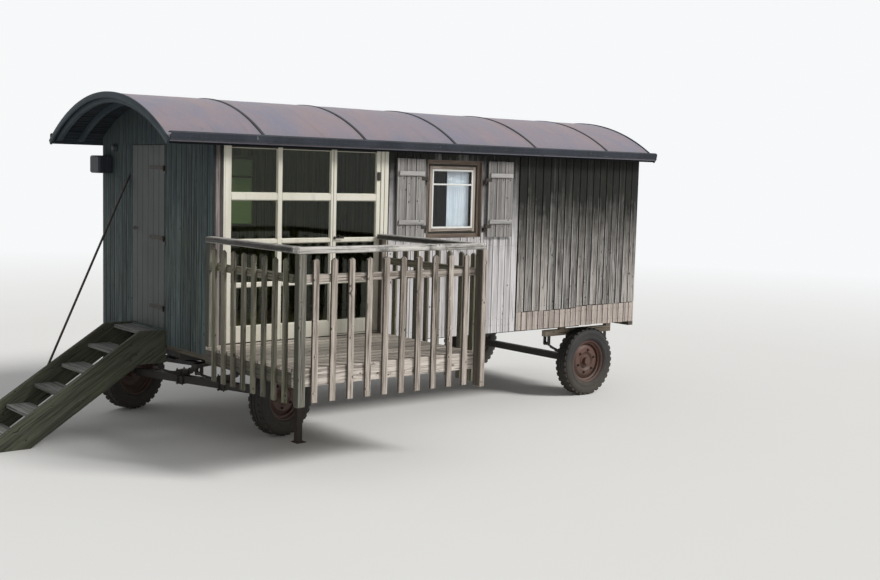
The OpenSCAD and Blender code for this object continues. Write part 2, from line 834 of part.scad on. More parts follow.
module tyre_front_near() { color("#25262a") placed() turned() translate([0, -half_track, axle_z]) tyre(); }
module tyre_front_far() { color("#25262a") placed() turned() translate([0, half_track, axle_z]) tyre(); }
module rim_front_near() { color("#8a4a35") placed() turned() translate([0, -half_track, axle_z]) rim(); }
module rim_front_far() {
    color("#8a4a35") placed() turned() translate([0, half_track, axle_z]) rotate([0, 0, 180]) rim();
}
module tyre_rear_near() {
    color("#25262a") placed() translate([rear_axle_x, body_w / 2 - half_track, axle_z]) tyre();
}
module tyre_rear_far() {
    color("#25262a") placed() translate([rear_axle_x, body_w / 2 + half_track, axle_z]) tyre();
}
module rim_rear_near() {
    color("#8a4a35") placed() translate([rear_axle_x, body_w / 2 - half_track, axle_z]) rim();
}
module rim_rear_far() {
    color("#8a4a35") placed() translate([rear_axle_x, body_w / 2 + half_track, axle_z]) rotate([0, 0, 180]) rim();
}

chassis_beams();
chassis_crossbars();
floor_bearers();
cabin_floor();
front_wall_left();
front_wall_right();
end_wall_near();
end_wall_far();
end_wall_arch();
rear_end_wall();
back_wall();
roof();
roof_bows();
arched_boards();
eave_boards();
bay_frame();
window_glass();
window_frames();
door_frame();
entrance_door();
deck_door();
deck_door_glass();
shutter_left();
shutter_right();
porch_fittings();
deck_boards();
deck_fascia();
deck_joists();
deck_posts();
railing_front();
railing_sides();
handrails();
deck_prop();
stair_stringers();
stair_treads();
stair_hand_rod();
hinge_pins();
window_curtains();
spring_beams();
front_axle();
rear_axle();
tyre_front_near();
rim_front_near();
tyre_front_far();
rim_front_far();
tyre_rear_near();
rim_rear_near();
tyre_rear_far();
rim_rear_far();
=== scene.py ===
# Shepherds hut on wheels: pieces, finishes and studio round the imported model.
# Metres, +Z up. Places are written from the near left corner of the hut's body
# on the ground, with the deck towards -Y and the stair towards -X.
import math
import random

import bmesh
import bpy
from mathutils import Matrix, Vector, noise


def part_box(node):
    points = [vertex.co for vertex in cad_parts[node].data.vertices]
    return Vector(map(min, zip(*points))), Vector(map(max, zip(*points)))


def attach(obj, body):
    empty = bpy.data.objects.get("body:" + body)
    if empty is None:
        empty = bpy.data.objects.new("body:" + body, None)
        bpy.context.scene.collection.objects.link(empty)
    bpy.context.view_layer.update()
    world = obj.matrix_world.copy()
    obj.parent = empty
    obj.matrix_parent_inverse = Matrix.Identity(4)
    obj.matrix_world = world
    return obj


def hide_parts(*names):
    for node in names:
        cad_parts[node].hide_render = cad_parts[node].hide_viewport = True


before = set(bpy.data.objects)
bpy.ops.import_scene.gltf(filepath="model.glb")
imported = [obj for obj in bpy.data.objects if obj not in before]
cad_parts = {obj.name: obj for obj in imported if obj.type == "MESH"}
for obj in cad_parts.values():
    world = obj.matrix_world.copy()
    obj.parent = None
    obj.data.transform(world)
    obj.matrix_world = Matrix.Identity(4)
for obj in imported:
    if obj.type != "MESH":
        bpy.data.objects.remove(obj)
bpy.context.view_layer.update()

print("frame loaded")

corner = Vector((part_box("end_wall_near")[0].x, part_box("front_wall_left")[0].y, 0.0))

hut = {
    "length": 6.0,
    "width": 2.5,
    "cladZ": 0.9,
    "eaveZ": 2.945,
    "wallThick": 0.09,
    "floorZ": 1.02,
    "deckZ": 1.01,
    "roofRise": 0.467,
    "eaveOut": 0.15,
    "porchOut": 0.52,
    "backOut": 0.12,
    "boardThick": 0.016,
}
roofHalf = hut["width"] / 2 + hut["eaveOut"]
roofRadius = (roofHalf ** 2 + hut["roofRise"] ** 2) / (2 * hut["roofRise"])
archY = hut["width"] / 2
archZ = hut["eaveZ"] + hut["roofRise"] - roofRadius


def at(x, y, z):
    return corner + Vector((x, y, z))


def addObject(name, data):
    made = bpy.data.objects.new(name, data)
    bpy.context.scene.collection.objects.link(made)
    return made


def feed(tree, socket, value):
    if isinstance(value, bpy.types.NodeSocket):
        tree.links.new(value, socket)
    elif socket.type == "RGBA" and len(value) == 3:
        socket.default_value = (*value, 1.0)
    else:
        socket.default_value = value


def addNode(tree, kind, sockets=None, **settings):
    node = tree.nodes.new(kind)
    for name, value in settings.items():
        setattr(node, name, value)
    for key, value in (sockets or {}).items():
        feed(tree, node.inputs[key], value)
    return node


def calc(tree, operation, first, second=None, clamp=False):
    node = addNode(tree, "ShaderNodeMath", operation=operation, use_clamp=clamp)
    for index, value in enumerate((first, second)):
        if value is not None:
            feed(tree, node.inputs[index], value)
    return node.outputs[0]


def times(tree, first, second, **settings):
    return calc(tree, "MULTIPLY", first, second, **settings)


def plus(tree, first, second, **settings):
    return calc(tree, "ADD", first, second, **settings)


def minus(tree, first, second):
    return calc(tree, "SUBTRACT", first, second)


def vectorCalc(tree, operation, first, second):
    node = addNode(tree, "ShaderNodeVectorMath", operation=operation)
    feed(tree, node.inputs[0], first)
    feed(tree, node.inputs[1], second)
    return node.outputs[0]


def blend(tree, factor, first, second, mode="MIX"):
    node = addNode(tree, "ShaderNodeMix", data_type="RGBA", blend_type=mode)
    feed(tree, node.inputs[0], factor)
    feed(tree, node.inputs[6], first)
    feed(tree, node.inputs[7], second)
    return node.outputs[2]


def tinge(tree, colour, mask, amount, tint):
    # The colour, drawn towards a tint where a mask says so.
    return blend(tree, times(tree, mask, amount), colour, tint)


def span(tree, value, low, high, toLow=0.0, toHigh=1.0):
    node = addNode(tree, "ShaderNodeMapRange", clamp=True)
    for index, given in enumerate((value, low, high, toLow, toHigh)):
        feed(tree, node.inputs[index], given)
    return node.outputs[0]


def speckle(tree, vector, scale, detail=2.0, roughness=0.5, distortion=0.0):
    node = addNode(tree, "ShaderNodeTexNoise",
                   {"Vector": vector, "Scale": scale, "Detail": detail, "Roughness": roughness,
                    "Distortion": distortion})
    return node.outputs["Fac"]


def stretch(tree, vector, factors, shift=(0.0, 0.0, 0.0)):
    node = addNode(tree, "ShaderNodeMapping", {"Vector": vector, "Scale": factors, "Location": shift})
    return node.outputs[0]


def newGroup(name, kind, inputs, outputs):
    # Inputs by name with a first value or a kind. A shader group puts out numbers, another one geometry.
    group = bpy.data.node_groups.new(name, kind)
    for label, value in inputs.items():
        kindOf = {float: "Float", int: "Int"}.get(type(value), value)
        socket = group.interface.new_socket(label, in_out="INPUT", socket_type="NodeSocket" + kindOf)
        if kindOf != value:
            socket.default_value = value
    given = "NodeSocketFloat" if kind == "ShaderNodeTree" else "NodeSocketGeometry"
    for label in outputs:
        group.interface.new_socket(label, in_out="OUTPUT", socket_type=given)
    return group, group.nodes.new("NodeGroupInput").outputs, group.nodes.new("NodeGroupOutput").inputs


def xyz(tree, x, y, z):
    return addNode(tree, "ShaderNodeCombineXYZ", {"X": x, "Y": y, "Z": z}).outputs[0]


def axesOf(tree, vector):
    return addNode(tree, "ShaderNodeSeparateXYZ", {"Vector": vector}).outputs


def ownPlace(tree):
    return addNode(tree, "ShaderNodeTexCoord").outputs["Object"]


def placeGroup(tree, group, sockets):
    node = tree.nodes.new("ShaderNodeGroup")
    node.node_tree = group
    for key, value in sockets.items():
        feed(tree, node.inputs[key], value)
    return node.outputs


# Grain of a board whose length is the Z of Place, with small round knots in its face.
timberGrain, given, made = newGroup(
    "timberGrain", "ShaderNodeTree", {"Place": "Vector", "Coarseness": 1.0, "Knots": 0.4, "Splits": 0.5},
    ["Figure", "Streak", "Fibre", "Split", "Knot", "Height"])
tree = timberGrain
parts = axesOf(tree, given["Place"])
face = xyz(tree, plus(tree, parts["X"], parts["Y"]), times(tree, parts["Z"], 0.7), 0.0)
knotCell = addNode(tree, "ShaderNodeTexVoronoi", {"Vector": face, "Scale": 9.0}, voronoi_dimensions="2D")
luck = addNode(tree, "ShaderNodeSeparateColor", {"Color": knotCell.outputs["Color"]}).outputs
knotSize = span(tree, luck["Green"], 0.0, 1.0, 0.04, 0.1)
knotThere = calc(tree, "LESS_THAN", luck["Red"], given["Knots"])
apart = knotCell.outputs["Distance"]
knot = times(tree, knotThere, span(tree, apart, knotSize, times(tree, knotSize, 0.5)))
halo = times(tree, knotThere, span(tree, apart, times(tree, knotSize, 3.0), knotSize))
swirl = vectorCalc(tree, "ADD", given["Place"], xyz(tree, times(tree, halo, 0.012), 0.0, 0.0))
bands = speckle(tree, stretch(tree, swirl, (1.0, 1.0, 0.03)), times(tree, given["Coarseness"], 19.0), 2.0,
                0.5, 0.4)
narrow = speckle(tree, stretch(tree, swirl, (1.0, 1.0, 0.032)), times(tree, given["Coarseness"], 64.0), 3.0,
                 0.6, 0.6)
fibre = speckle(tree, stretch(tree, swirl, (1.0, 1.0, 0.022)), times(tree, given["Coarseness"], 250.0), 2.0,
                0.7)
figure = plus(tree, times(tree, bands, 0.45), times(tree, narrow, 0.55))
figure = span(tree, figure, 0.41, 0.59)
streak = span(tree, narrow, 0.43, 0.33)
splitNoise = speckle(tree, stretch(tree, swirl, (1.0, 1.0, 0.028), (3.1, 7.7, 1.3)), 62.0)
splitFrom = span(tree, given["Splits"], 0.0, 1.0, 0.8, 0.6)
split = span(tree, splitNoise, splitFrom, plus(tree, splitFrom, 0.035))
height = plus(tree, times(tree, figure, 0.5), times(tree, fibre, 0.5))
height = minus(tree, height, times(tree, split, 0.9))
height = minus(tree, height, times(tree, knot, 0.25))
for label, value in (("Figure", figure), ("Streak", streak), ("Fibre", fibre), ("Split", split),
                     ("Knot", knot), ("Height", height)):
    feed(tree, made[label], value)

# Blotches, a wavy ramp with height that serves both dirt rising from the ground and painted shade under the
# eaves, green growth, and runs.
weather, given, made = newGroup("weather", "ShaderNodeTree", {"Place": "Vector", "Low": 0.0, "High": 1.0},
                                ["Rise", "Blotch", "Growth", "Runs"])
heightOnly = axesOf(weather, given["Place"])["Z"]
blotch = speckle(weather, given["Place"], 1.7, 4.0, 0.6, 0.4)
patch = speckle(weather, given["Place"], 9.0, 5.0, 0.65)
wavy = plus(weather, heightOnly, times(weather, minus(weather, patch, 0.5), 0.5))
feed(weather, made["Rise"], span(weather, wavy, given["Low"], given["High"]))
feed(weather, made["Blotch"], blotch)
growth = times(weather, span(weather, blotch, 0.45, 0.62), span(weather, patch, 0.4, 0.65))
feed(weather, made["Growth"], growth)
streaks = stretch(weather, given["Place"], (1.0, 1.0, 0.06))
feed(weather, made["Runs"], speckle(weather, streaks, 22.0, 4.0, 0.6))

# Worn edges: where the rounded normal leaves the flat one.
wornEdge, given, made = newGroup("wornEdge", "ShaderNodeTree", {"Place": "Vector", "Reach": 0.004}, ["Edge"])
rounded = addNode(wornEdge, "ShaderNodeBevel", {"Radius": given["Reach"]}, samples=4)
flatNormal = addNode(wornEdge, "ShaderNodeNewGeometry").outputs["Normal"]
turn = addNode(wornEdge, "ShaderNodeVectorMath", operation="DOT_PRODUCT")
feed(wornEdge, turn.inputs[0], rounded.outputs[0])
feed(wornEdge, turn.inputs[1], flatNormal)
rawEdge = span(wornEdge, turn.outputs["Value"], 0.995, 0.9)
chips = span(wornEdge, speckle(wornEdge, given["Place"], 60.0, 4.0, 0.7), 0.38, 0.6)
feed(wornEdge, made["Edge"], times(wornEdge, rawEdge, chips))


def newMaterial(name, **constants):
    material = bpy.data.materials.new(name)
    material.use_nodes = True
    tree = material.node_tree
    tree.nodes.clear()
    output = addNode(tree, "ShaderNodeOutputMaterial")
    shader = addNode(tree, "ShaderNodeBsdfPrincipled")
    tree.links.new(shader.outputs[0], output.inputs["Surface"])
    for key, value in constants.items():
        shader.inputs[key.replace("_", " ")].default_value = value
    return material, tree, shader


def showMix(tree, factor, first, second):
    # Mixes two shaders and shows the result in place of the first.
    mix = addNode(tree, "ShaderNodeMixShader", {0: factor, 1: first.outputs[0], 2: second.outputs[0]})
    output = next(node for node in tree.nodes if node.type.startswith("OUTPUT"))
    tree.links.new(mix.outputs[0], output.inputs["Surface"])


def addBump(tree, shader, height, depth, strength):
    bump = addNode(tree, "ShaderNodeBump", {"Strength": strength, "Distance": depth, "Height": height})
    feed(tree, shader.inputs["Normal"], bump.outputs[0])


def grainSource(tree, along):
    # A board carries its own grain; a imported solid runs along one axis.
    place = ownPlace(tree)
    if along is None:
        return addNode(tree, "ShaderNodeAttribute", attribute_name="grainPlace").outputs["Vector"], place
    parts = axesOf(tree, place)
    order = {"x": (1, 2, 0), "y": (0, 2, 1), "z": (0, 1, 2)}[along]
    turned = addNode(tree, "ShaderNodeCombineXYZ", {i: parts[order[i]] for i in range(3)}).outputs[0]
    return turned, place


def boardTone(tree, along, place):
    if along is None:
        return addNode(tree, "ShaderNodeAttribute", attribute_name="boardTone").outputs["Fac"]
    return speckle(tree, place, 2.3, 1.0)


def dripMask(tree, place, drips):
    # Dark runs down a wall: each drip is its place along the hut, its top, its length and its width.
    parts = axesOf(tree, place)
    wobble = times(tree, minus(tree, speckle(tree, stretch(tree, place, (1.0, 1.0, 0.3)), 30.0, 3.0), 0.5),
                   0.03)
    total = None
    for x, top, long, wide in drips:
        off = calc(tree, "ABSOLUTE", minus(tree, plus(tree, parts["X"], wobble), x + corner.x))
        beside = span(tree, off, wide / 2, wide / 6)
        fade = times(tree, span(tree, parts["Z"], top - long, top), span(tree, parts["Z"], top + 0.01, top))
        one = times(tree, beside, fade)
        total = one if total is None else calc(tree, "MAXIMUM", total, one)
    return total


def timberMaterial(name, look):
    # Bare wood: dark and pale grain, silvered between two heights, split and knotted.
    material, tree, shader = newMaterial(name, Roughness=0.85, Specular_IOR_Level=look.get("shine", 0.3))
    along = look.get("along")
    grainPlace, place = grainSource(tree, along)
    tone = boardTone(tree, along, place)
    grain = placeGroup(tree, timberGrain, {
        "Place": grainPlace, "Coarseness": look.get("coarse", 1.0), "Knots": look.get("knots", 0.4),
        "Splits": look.get("splits", 0.5)})
    air = placeGroup(tree, weather, {
        "Place": place, "Low": look.get("low", 0.0), "High": look.get("high", 3.0)})
    colour = blend(tree, grain["Figure"], look["dark"], look["mid"])
    silver = times(tree, span(tree, grain["Fibre"], 0.4, 0.62), look.get("silvered", 0.7))
    silver = times(tree, silver, span(tree, grain["Figure"], 0.2, 0.9, 0.35, 1.0))
    silver = times(tree, silver, span(tree, air["Blotch"], 0.3, 0.7, 0.55, 1.0))
    colour = blend(tree, silver, colour, look["pale"])
    colour = tinge(tree, colour, tone, look.get("toneMix", 0.3), look.get("tint", look["mid"]))
    level = span(tree, tone, 0.0, 1.0, 1.0 - look.get("toneSpan", 0.2), 1.0 + look.get("toneSpan", 0.2))
    colour = blend(tree, 1.0, colour, xyz(tree, level, level, level), "MULTIPLY")
    deep = look.get("deep", tuple(c * 0.35 for c in look["dark"]))
    colour = tinge(tree, colour, grain["Streak"], look.get("streaked", 0.7), deep)
    if along is None:
        across = addNode(tree, "ShaderNodeAttribute", attribute_name="boardAcross").outputs["Fac"]
        lit = times(tree, span(tree, across, -0.62, -0.78), span(tree, across, -0.98, -0.9))
        colour = tinge(tree, colour, lit, look.get("litEdge", 0.5), look["pale"])
        # Darker towards both edges of each board: dirt in the joints and painted shade between the boards.
        joint = span(tree, calc(tree, "ABSOLUTE", across), look.get("jointFrom", 0.84), 1.0)
        colour = tinge(tree, colour, joint, look.get("joint", 0.8), deep)
    # Darker towards the eaves: wood kept from bleaching there, with painted shadow of the eaves and of
    # foliage over it.
    if "shelterAndShade" in look:
        shade = plus(tree, air["Rise"], times(tree, minus(tree, tone, 0.5), 0.22))
        shade = plus(tree, shade, times(tree, minus(tree, air["Runs"], 0.5), 0.7))
        colour = blend(tree, span(tree, shade, 0.1, 0.92), colour, look["shelterAndShade"])
    if "drips" in look:
        colour = tinge(tree, colour, dripMask(tree, place, look["drips"]), 0.8, deep)
    if "growth" in look:
        colour = tinge(tree, colour, air["Growth"], look.get("grown", 0.5), look["growth"])
    # Faces turned towards -X darkened: painted shade on the side away from the key light.
    if "darkSides" in look:
        normal = axesOf(tree, addNode(tree, "ShaderNodeNewGeometry").outputs["Normal"])
        side = span(tree, times(tree, normal["X"], -1.0), 0.5, 0.9, 0.0, 0.85)
        colour = blend(tree, side, colour, look["darkSides"])
    if "worn" in look:
        edge = placeGroup(tree, wornEdge, {"Place": place, "Reach": look.get("reach", 0.005)})["Edge"]
        colour = tinge(tree, colour, edge, 0.75, look["worn"])
    colour = tinge(tree, colour, grain["Knot"], 0.85, look.get("knotColour", (0.02, 0.014, 0.01)))
    colour = tinge(tree, colour, grain["Split"], 0.85, (0.012, 0.01, 0.008))
    feed(tree, shader.inputs["Base Color"], colour)
    feed(tree, shader.inputs["Roughness"], span(tree, grain["Fibre"], 0.3, 0.7, 0.95, 0.75))
    addBump(tree, shader, grain["Height"], look.get("depth", 0.0025), look.get("bump", 0.9))
    return material


def paintMaterial(name, look):
    # Paint over wood or steel: dulled, run with dirt, chipped at the edges.
    material, tree, shader = newMaterial(name, Metallic=look.get("metallic", 0.0),
                                         Specular_IOR_Level=look.get("shine", 0.5))
    along = look.get("along")
    grainPlace, place = grainSource(tree, along)
    air = placeGroup(tree, weather, {
        "Place": place, "Low": look.get("low", 0.0), "High": look.get("high", 0.9)})
    grain = placeGroup(tree, timberGrain, {
        "Place": grainPlace, "Coarseness": look.get("coarse", 0.8), "Knots": 0.0,
        "Splits": look.get("splits", 0.3)})
    edge = placeGroup(tree, wornEdge, {"Place": place, "Reach": look.get("reach", 0.004)})["Edge"]
    colour = blend(tree, span(tree, air["Blotch"], 0.35, 0.65), look["paint"], look["faded"])
    colour = tinge(tree, colour, span(tree, air["Runs"], 0.52, 0.75), look.get("dirt", 0.4), look["grime"])
    splash = minus(tree, 1.0, air["Rise"])
    colour = tinge(tree, colour, splash, look.get("splash", 0.3), look.get("mud", (0.12, 0.1, 0.075)))
    flake = span(tree, speckle(tree, stretch(tree, grainPlace, (1.0, 1.0, 0.15)), 26.0, 5.0, 0.7),
                 look.get("flakeFrom", 0.7), look.get("flakeFrom", 0.7) + 0.03)
    bare = calc(tree, "MAXIMUM", times(tree, edge, look.get("chipped", 0.7)), flake)
    colour = blend(tree, bare, colour, look["under"])
    if look.get("grained", True):
        colour = tinge(tree, colour, grain["Split"], 0.7, look["grime"])
        height = minus(tree, times(tree, grain["Height"], 0.5), times(tree, bare, 0.5))
    else:
        height = minus(tree, speckle(tree, place, 90.0, 3.0), bare)
    feed(tree, shader.inputs["Base Color"], colour)
    feed(tree, shader.inputs["Roughness"], plus(tree, look.get("gloss", 0.45), times(tree, bare, 0.35)))
    addBump(tree, shader, height, look.get("depth", 0.0008), 0.7)
    return material


timbers = {
    # front boards: near black at the top, partly weathering and partly painted shadow of the eaves and
    # foliage
    "frontBoards": {
        "dark": (0.05, 0.045, 0.04), "mid": (0.255, 0.24, 0.226), "pale": (0.62, 0.605, 0.59),
        "tint": (0.29, 0.258, 0.23), "low": 1.4, "high": 2.55, "shelterAndShade": (0.008, 0.009, 0.007),
        "silvered": 0.95, "toneMix": 0.5, "toneSpan": 0.3, "splits": 0.85, "knots": 0.5, "streaked": 0.85,
        "joint": 0.9, "growth": (0.12, 0.125, 0.08), "grown": 0.08},
    "midBoards": {
        "dark": (0.34, 0.325, 0.328), "mid": (0.545, 0.528, 0.532), "pale": (0.74, 0.725, 0.73),
        "tint": (0.49, 0.478, 0.492), "low": 1.75, "high": 3.0, "shelterAndShade": (0.02, 0.02, 0.018),
        "silvered": 0.8, "toneSpan": 0.1, "streaked": 0.3, "knots": 0.2, "joint": 0.3, "splits": 0.35,
        "drips": ((3.51, 1.98, 0.42, 0.05), (3.64, 1.99, 0.3, 0.035), (3.8, 1.98, 0.5, 0.055))},
    # corner boards: dark from painted shade of the hut's shaded end
    "cornerBoards": {
        "dark": (0.03, 0.027, 0.025), "mid": (0.08, 0.072, 0.068), "pale": (0.18, 0.165, 0.16),
        "low": 2.2, "high": 3.0, "shelterAndShade": (0.012, 0.013, 0.012), "silvered": 0.5},
    "cornerStrip": {
        "dark": (0.12, 0.098, 0.092), "mid": (0.255, 0.222, 0.212), "pale": (0.42, 0.38, 0.362),
        "low": 2.4, "high": 3.1, "shelterAndShade": (0.02, 0.02, 0.022), "joint": 0.4, "streaked": 0.5},
    "lowBoards": {
        "dark": (0.22, 0.184, 0.164), "mid": (0.43, 0.372, 0.336), "pale": (0.63, 0.575, 0.53),
        "tint": (0.385, 0.325, 0.285), "toneSpan": 0.16, "splits": 0.4, "knots": 0.3, "streaked": 0.35,
        "joint": 0.5},
    "endBoards": {
        "dark": (0.018, 0.026, 0.026), "mid": (0.072, 0.096, 0.096), "pale": (0.18, 0.214, 0.21),
        "tint": (0.07, 0.096, 0.104), "low": 1.9, "high": 3.4, "shelterAndShade": (0.022, 0.032, 0.038),
        "toneSpan": 0.3, "splits": 0.7, "knots": 0.3, "streaked": 0.4, "joint": 0.9,
        "growth": (0.06, 0.085, 0.045), "grown": 0.3},
    "lining": {
        "dark": (0.038, 0.045, 0.014), "mid": (0.092, 0.104, 0.034), "pale": (0.15, 0.162, 0.066),
        "silvered": 0.4, "splits": 0.2, "knots": 0.5, "toneSpan": 0.12, "depth": 0.001},
    "soffit": {
        "dark": (0.01, 0.013, 0.016), "mid": (0.022, 0.028, 0.034), "pale": (0.045, 0.055, 0.064),
        "silvered": 0.4, "splits": 0.4, "toneSpan": 0.25, "shine": 0.12},
    # wall cores: near black, painted shade seen in the gaps between the boards
    "shadedCore": {
        "dark": (0.012, 0.01, 0.008), "mid": (0.022, 0.018, 0.014), "pale": (0.035, 0.03, 0.024),
        "along": "z", "silvered": 0.4},
    # near-black timber for head rails and rebates: painted shade under the eaves and in the rebates
    "paintedShadeTimber": {
        "dark": (0.018, 0.018, 0.015), "mid": (0.04, 0.038, 0.032), "pale": (0.08, 0.076, 0.066),
        "silvered": 0.4},
    "windowJamb": {
        "dark": (0.085, 0.062, 0.048), "mid": (0.17, 0.13, 0.104), "pale": (0.32, 0.27, 0.23),
        "silvered": 0.6, "streaked": 0.4},
    "shutterBoards": {
        "dark": (0.15, 0.143, 0.138), "mid": (0.27, 0.256, 0.247), "pale": (0.44, 0.425, 0.412),
        "tint": (0.25, 0.245, 0.24), "silvered": 0.8, "splits": 0.4, "knots": 0.3, "toneSpan": 0.12,
        "streaked": 0.2, "joint": 0.4, "low": 2.5, "high": 3.5, "shelterAndShade": (0.03, 0.03, 0.028)},
    "ledges": {
        "dark": (0.24, 0.232, 0.226), "mid": (0.4, 0.39, 0.38), "pale": (0.59, 0.58, 0.57),
        "silvered": 0.85, "streaked": 0.25, "knots": 0.2, "splits": 0.4},
    "deckBoards": {
        "dark": (0.18, 0.155, 0.134), "mid": (0.53, 0.462, 0.4), "pale": (0.74, 0.69, 0.625),
        "tint": (0.33, 0.305, 0.262), "silvered": 0.75, "growth": (0.16, 0.165, 0.1), "grown": 0.18,
        "streaked": 0.4},
    "pickets": {
        "dark": (0.1, 0.08, 0.066), "mid": (0.37, 0.318, 0.276), "pale": (0.66, 0.61, 0.565),
        "tint": (0.35, 0.304, 0.256), "silvered": 0.8, "splits": 0.7, "growth": (0.14, 0.14, 0.09),
        "grown": 0.22, "worn": (0.58, 0.54, 0.5), "knots": 0.5, "darkSides": (0.05, 0.043, 0.031)},
    "fasciaBoards": {
        "dark": (0.21, 0.174, 0.15), "mid": (0.62, 0.55, 0.488), "pale": (0.8, 0.76, 0.715),
        "tint": (0.45, 0.4, 0.345), "silvered": 0.85, "splits": 0.6, "knots": 0.5,
        "growth": (0.17, 0.16, 0.11), "grown": 0.15},
    "sidePickets": {
        "dark": (0.06, 0.056, 0.04), "mid": (0.18, 0.168, 0.128), "pale": (0.33, 0.31, 0.255),
        "tint": (0.15, 0.155, 0.105), "splits": 0.6, "growth": (0.085, 0.1, 0.045), "knots": 0.5},
    "leftPost": {
        "dark": (0.06, 0.057, 0.046), "mid": (0.17, 0.164, 0.138), "pale": (0.38, 0.37, 0.33),
        "growth": (0.11, 0.12, 0.07), "grown": 0.35, "streaked": 0.5, "darkSides": (0.05, 0.05, 0.036)},
    "rails": {
        "dark": (0.19, 0.18, 0.165), "mid": (0.54, 0.52, 0.485), "pale": (0.8, 0.785, 0.755),
        "tint": (0.5, 0.485, 0.455), "silvered": 0.85, "splits": 0.6, "streaked": 0.8,
        "growth": (0.022, 0.022, 0.02), "grown": 0.95, "worn": (0.78, 0.76, 0.72)},
    "stair": {
        "dark": (0.032, 0.034, 0.024), "mid": (0.078, 0.082, 0.058), "pale": (0.16, 0.16, 0.125),
        "tint": (0.075, 0.085, 0.055), "silvered": 0.55, "splits": 0.6, "growth": (0.055, 0.068, 0.03),
        "worn": (0.26, 0.25, 0.215)},
    "treads": {
        "dark": (0.1, 0.1, 0.094), "mid": (0.225, 0.228, 0.218), "pale": (0.4, 0.402, 0.39),
        "tint": (0.2, 0.205, 0.185), "silvered": 0.8, "growth": (0.1, 0.115, 0.06), "grown": 0.35,
        "worn": (0.5, 0.5, 0.48)},
    "bearers": {
        "dark": (0.05, 0.044, 0.034), "mid": (0.12, 0.106, 0.082), "pale": (0.22, 0.2, 0.165),
        "along": "y", "silvered": 0.5, "growth": (0.08, 0.09, 0.045), "grown": 0.4},
}
timbers["beams"] = {
    "dark": (0.27, 0.22, 0.165), "mid": (0.43, 0.36, 0.28), "pale": (0.56, 0.5, 0.42), "along": "x"}
timbers["joists"] = dict(timbers["bearers"], mid=(0.1, 0.095, 0.075))
timbers["floorboards"] = dict(timbers["lining"], dark=(0.08, 0.06, 0.035), mid=(0.15, 0.11, 0.065))
timbers["windowStop"] = dict(timbers["windowJamb"], mid=(0.36, 0.305, 0.262), pale=(0.56, 0.5, 0.45))
# side rails: the rails' timber with painted shade on their -X faces
timbers["sideRails"] = dict(timbers["rails"], darkSides=(0.016, 0.016, 0.015))

paints = {
    "cream": {
        "paint": (0.66, 0.635, 0.535), "faded": (0.73, 0.712, 0.63), "grime": (0.27, 0.245, 0.18),
        "under": (0.25, 0.22, 0.175), "dirt": 0.28, "gloss": 0.42, "flakeFrom": 0.72, "low": 0.9,
        "high": 1.5, "splash": 0.25},
    "white": {
        "paint": (0.74, 0.735, 0.7), "faded": (0.78, 0.78, 0.76), "grime": (0.36, 0.345, 0.31),
        "under": (0.3, 0.27, 0.225), "dirt": 0.3, "gloss": 0.4, "flakeFrom": 0.74},
    "edgeBlack": {
        "paint": (0.02, 0.031, 0.038), "faded": (0.042, 0.06, 0.072), "grime": (0.06, 0.06, 0.056),
        "under": (0.12, 0.11, 0.1), "dirt": 0.3, "gloss": 0.6, "flakeFrom": 0.72, "chipped": 0.5,
        "shine": 0.22},
    "eaveBlue": {
        "paint": (0.013, 0.017, 0.025), "faded": (0.03, 0.036, 0.048), "grime": (0.01, 0.011, 0.012),
        "under": (0.2, 0.195, 0.185), "dirt": 0.6, "gloss": 0.6, "flakeFrom": 0.66, "chipped": 0.9,
        "shine": 0.22},
    "strap": {
        "paint": (0.012, 0.013, 0.015), "faded": (0.022, 0.024, 0.028), "grime": (0.04, 0.036, 0.036),
        "under": (0.06, 0.054, 0.052), "dirt": 0.2, "gloss": 0.65, "flakeFrom": 0.74, "chipped": 0.3},
    "doorDark": {
        "paint": (0.028, 0.034, 0.034), "faded": (0.05, 0.058, 0.056), "grime": (0.06, 0.058, 0.05),
        "under": (0.12, 0.11, 0.095), "gloss": 0.6},
    "iron": {
        "paint": (0.018, 0.016, 0.015), "faded": (0.04, 0.032, 0.027), "grime": (0.08, 0.038, 0.02),
        "under": (0.11, 0.048, 0.024), "dirt": 0.5, "gloss": 0.6, "flakeFrom": 0.62, "metallic": 0.3,
        "grained": False, "splash": 0.2},
    "chassis": {
        "paint": (0.024, 0.026, 0.028), "faded": (0.045, 0.045, 0.045), "grime": (0.08, 0.045, 0.028),
        "under": (0.1, 0.048, 0.026), "dirt": 0.5, "gloss": 0.6, "flakeFrom": 0.64, "grained": False,
        "splash": 0.55, "depth": 0.0012, "mud": (0.075, 0.062, 0.046)},
    "prop": {
        "paint": (0.02, 0.017, 0.014), "faded": (0.034, 0.026, 0.02), "grime": (0.06, 0.032, 0.018),
        "under": (0.08, 0.04, 0.022), "dirt": 0.6, "gloss": 0.7, "flakeFrom": 0.62, "grained": False,
        "splash": 0.15},
    "rim": {
        "paint": (0.09, 0.035, 0.024), "faded": (0.118, 0.052, 0.037), "grime": (0.055, 0.038, 0.03),
        "under": (0.07, 0.036, 0.024), "dirt": 0.8, "gloss": 0.6, "flakeFrom": 0.6, "grained": False,
        "low": 0.1, "high": 0.75, "splash": 0.55, "mud": (0.06, 0.05, 0.038)},
    "fitting": {
        "paint": (0.022, 0.026, 0.034), "faded": (0.04, 0.045, 0.055), "grime": (0.09, 0.085, 0.075),
        "under": (0.12, 0.11, 0.095), "dirt": 0.3, "gloss": 0.5, "grained": False, "shine": 0.25},
}
materials = {name: timberMaterial(name, look) for name, look in timbers.items()}
materials.update({name: paintMaterial(name, look) for name, look in paints.items()})


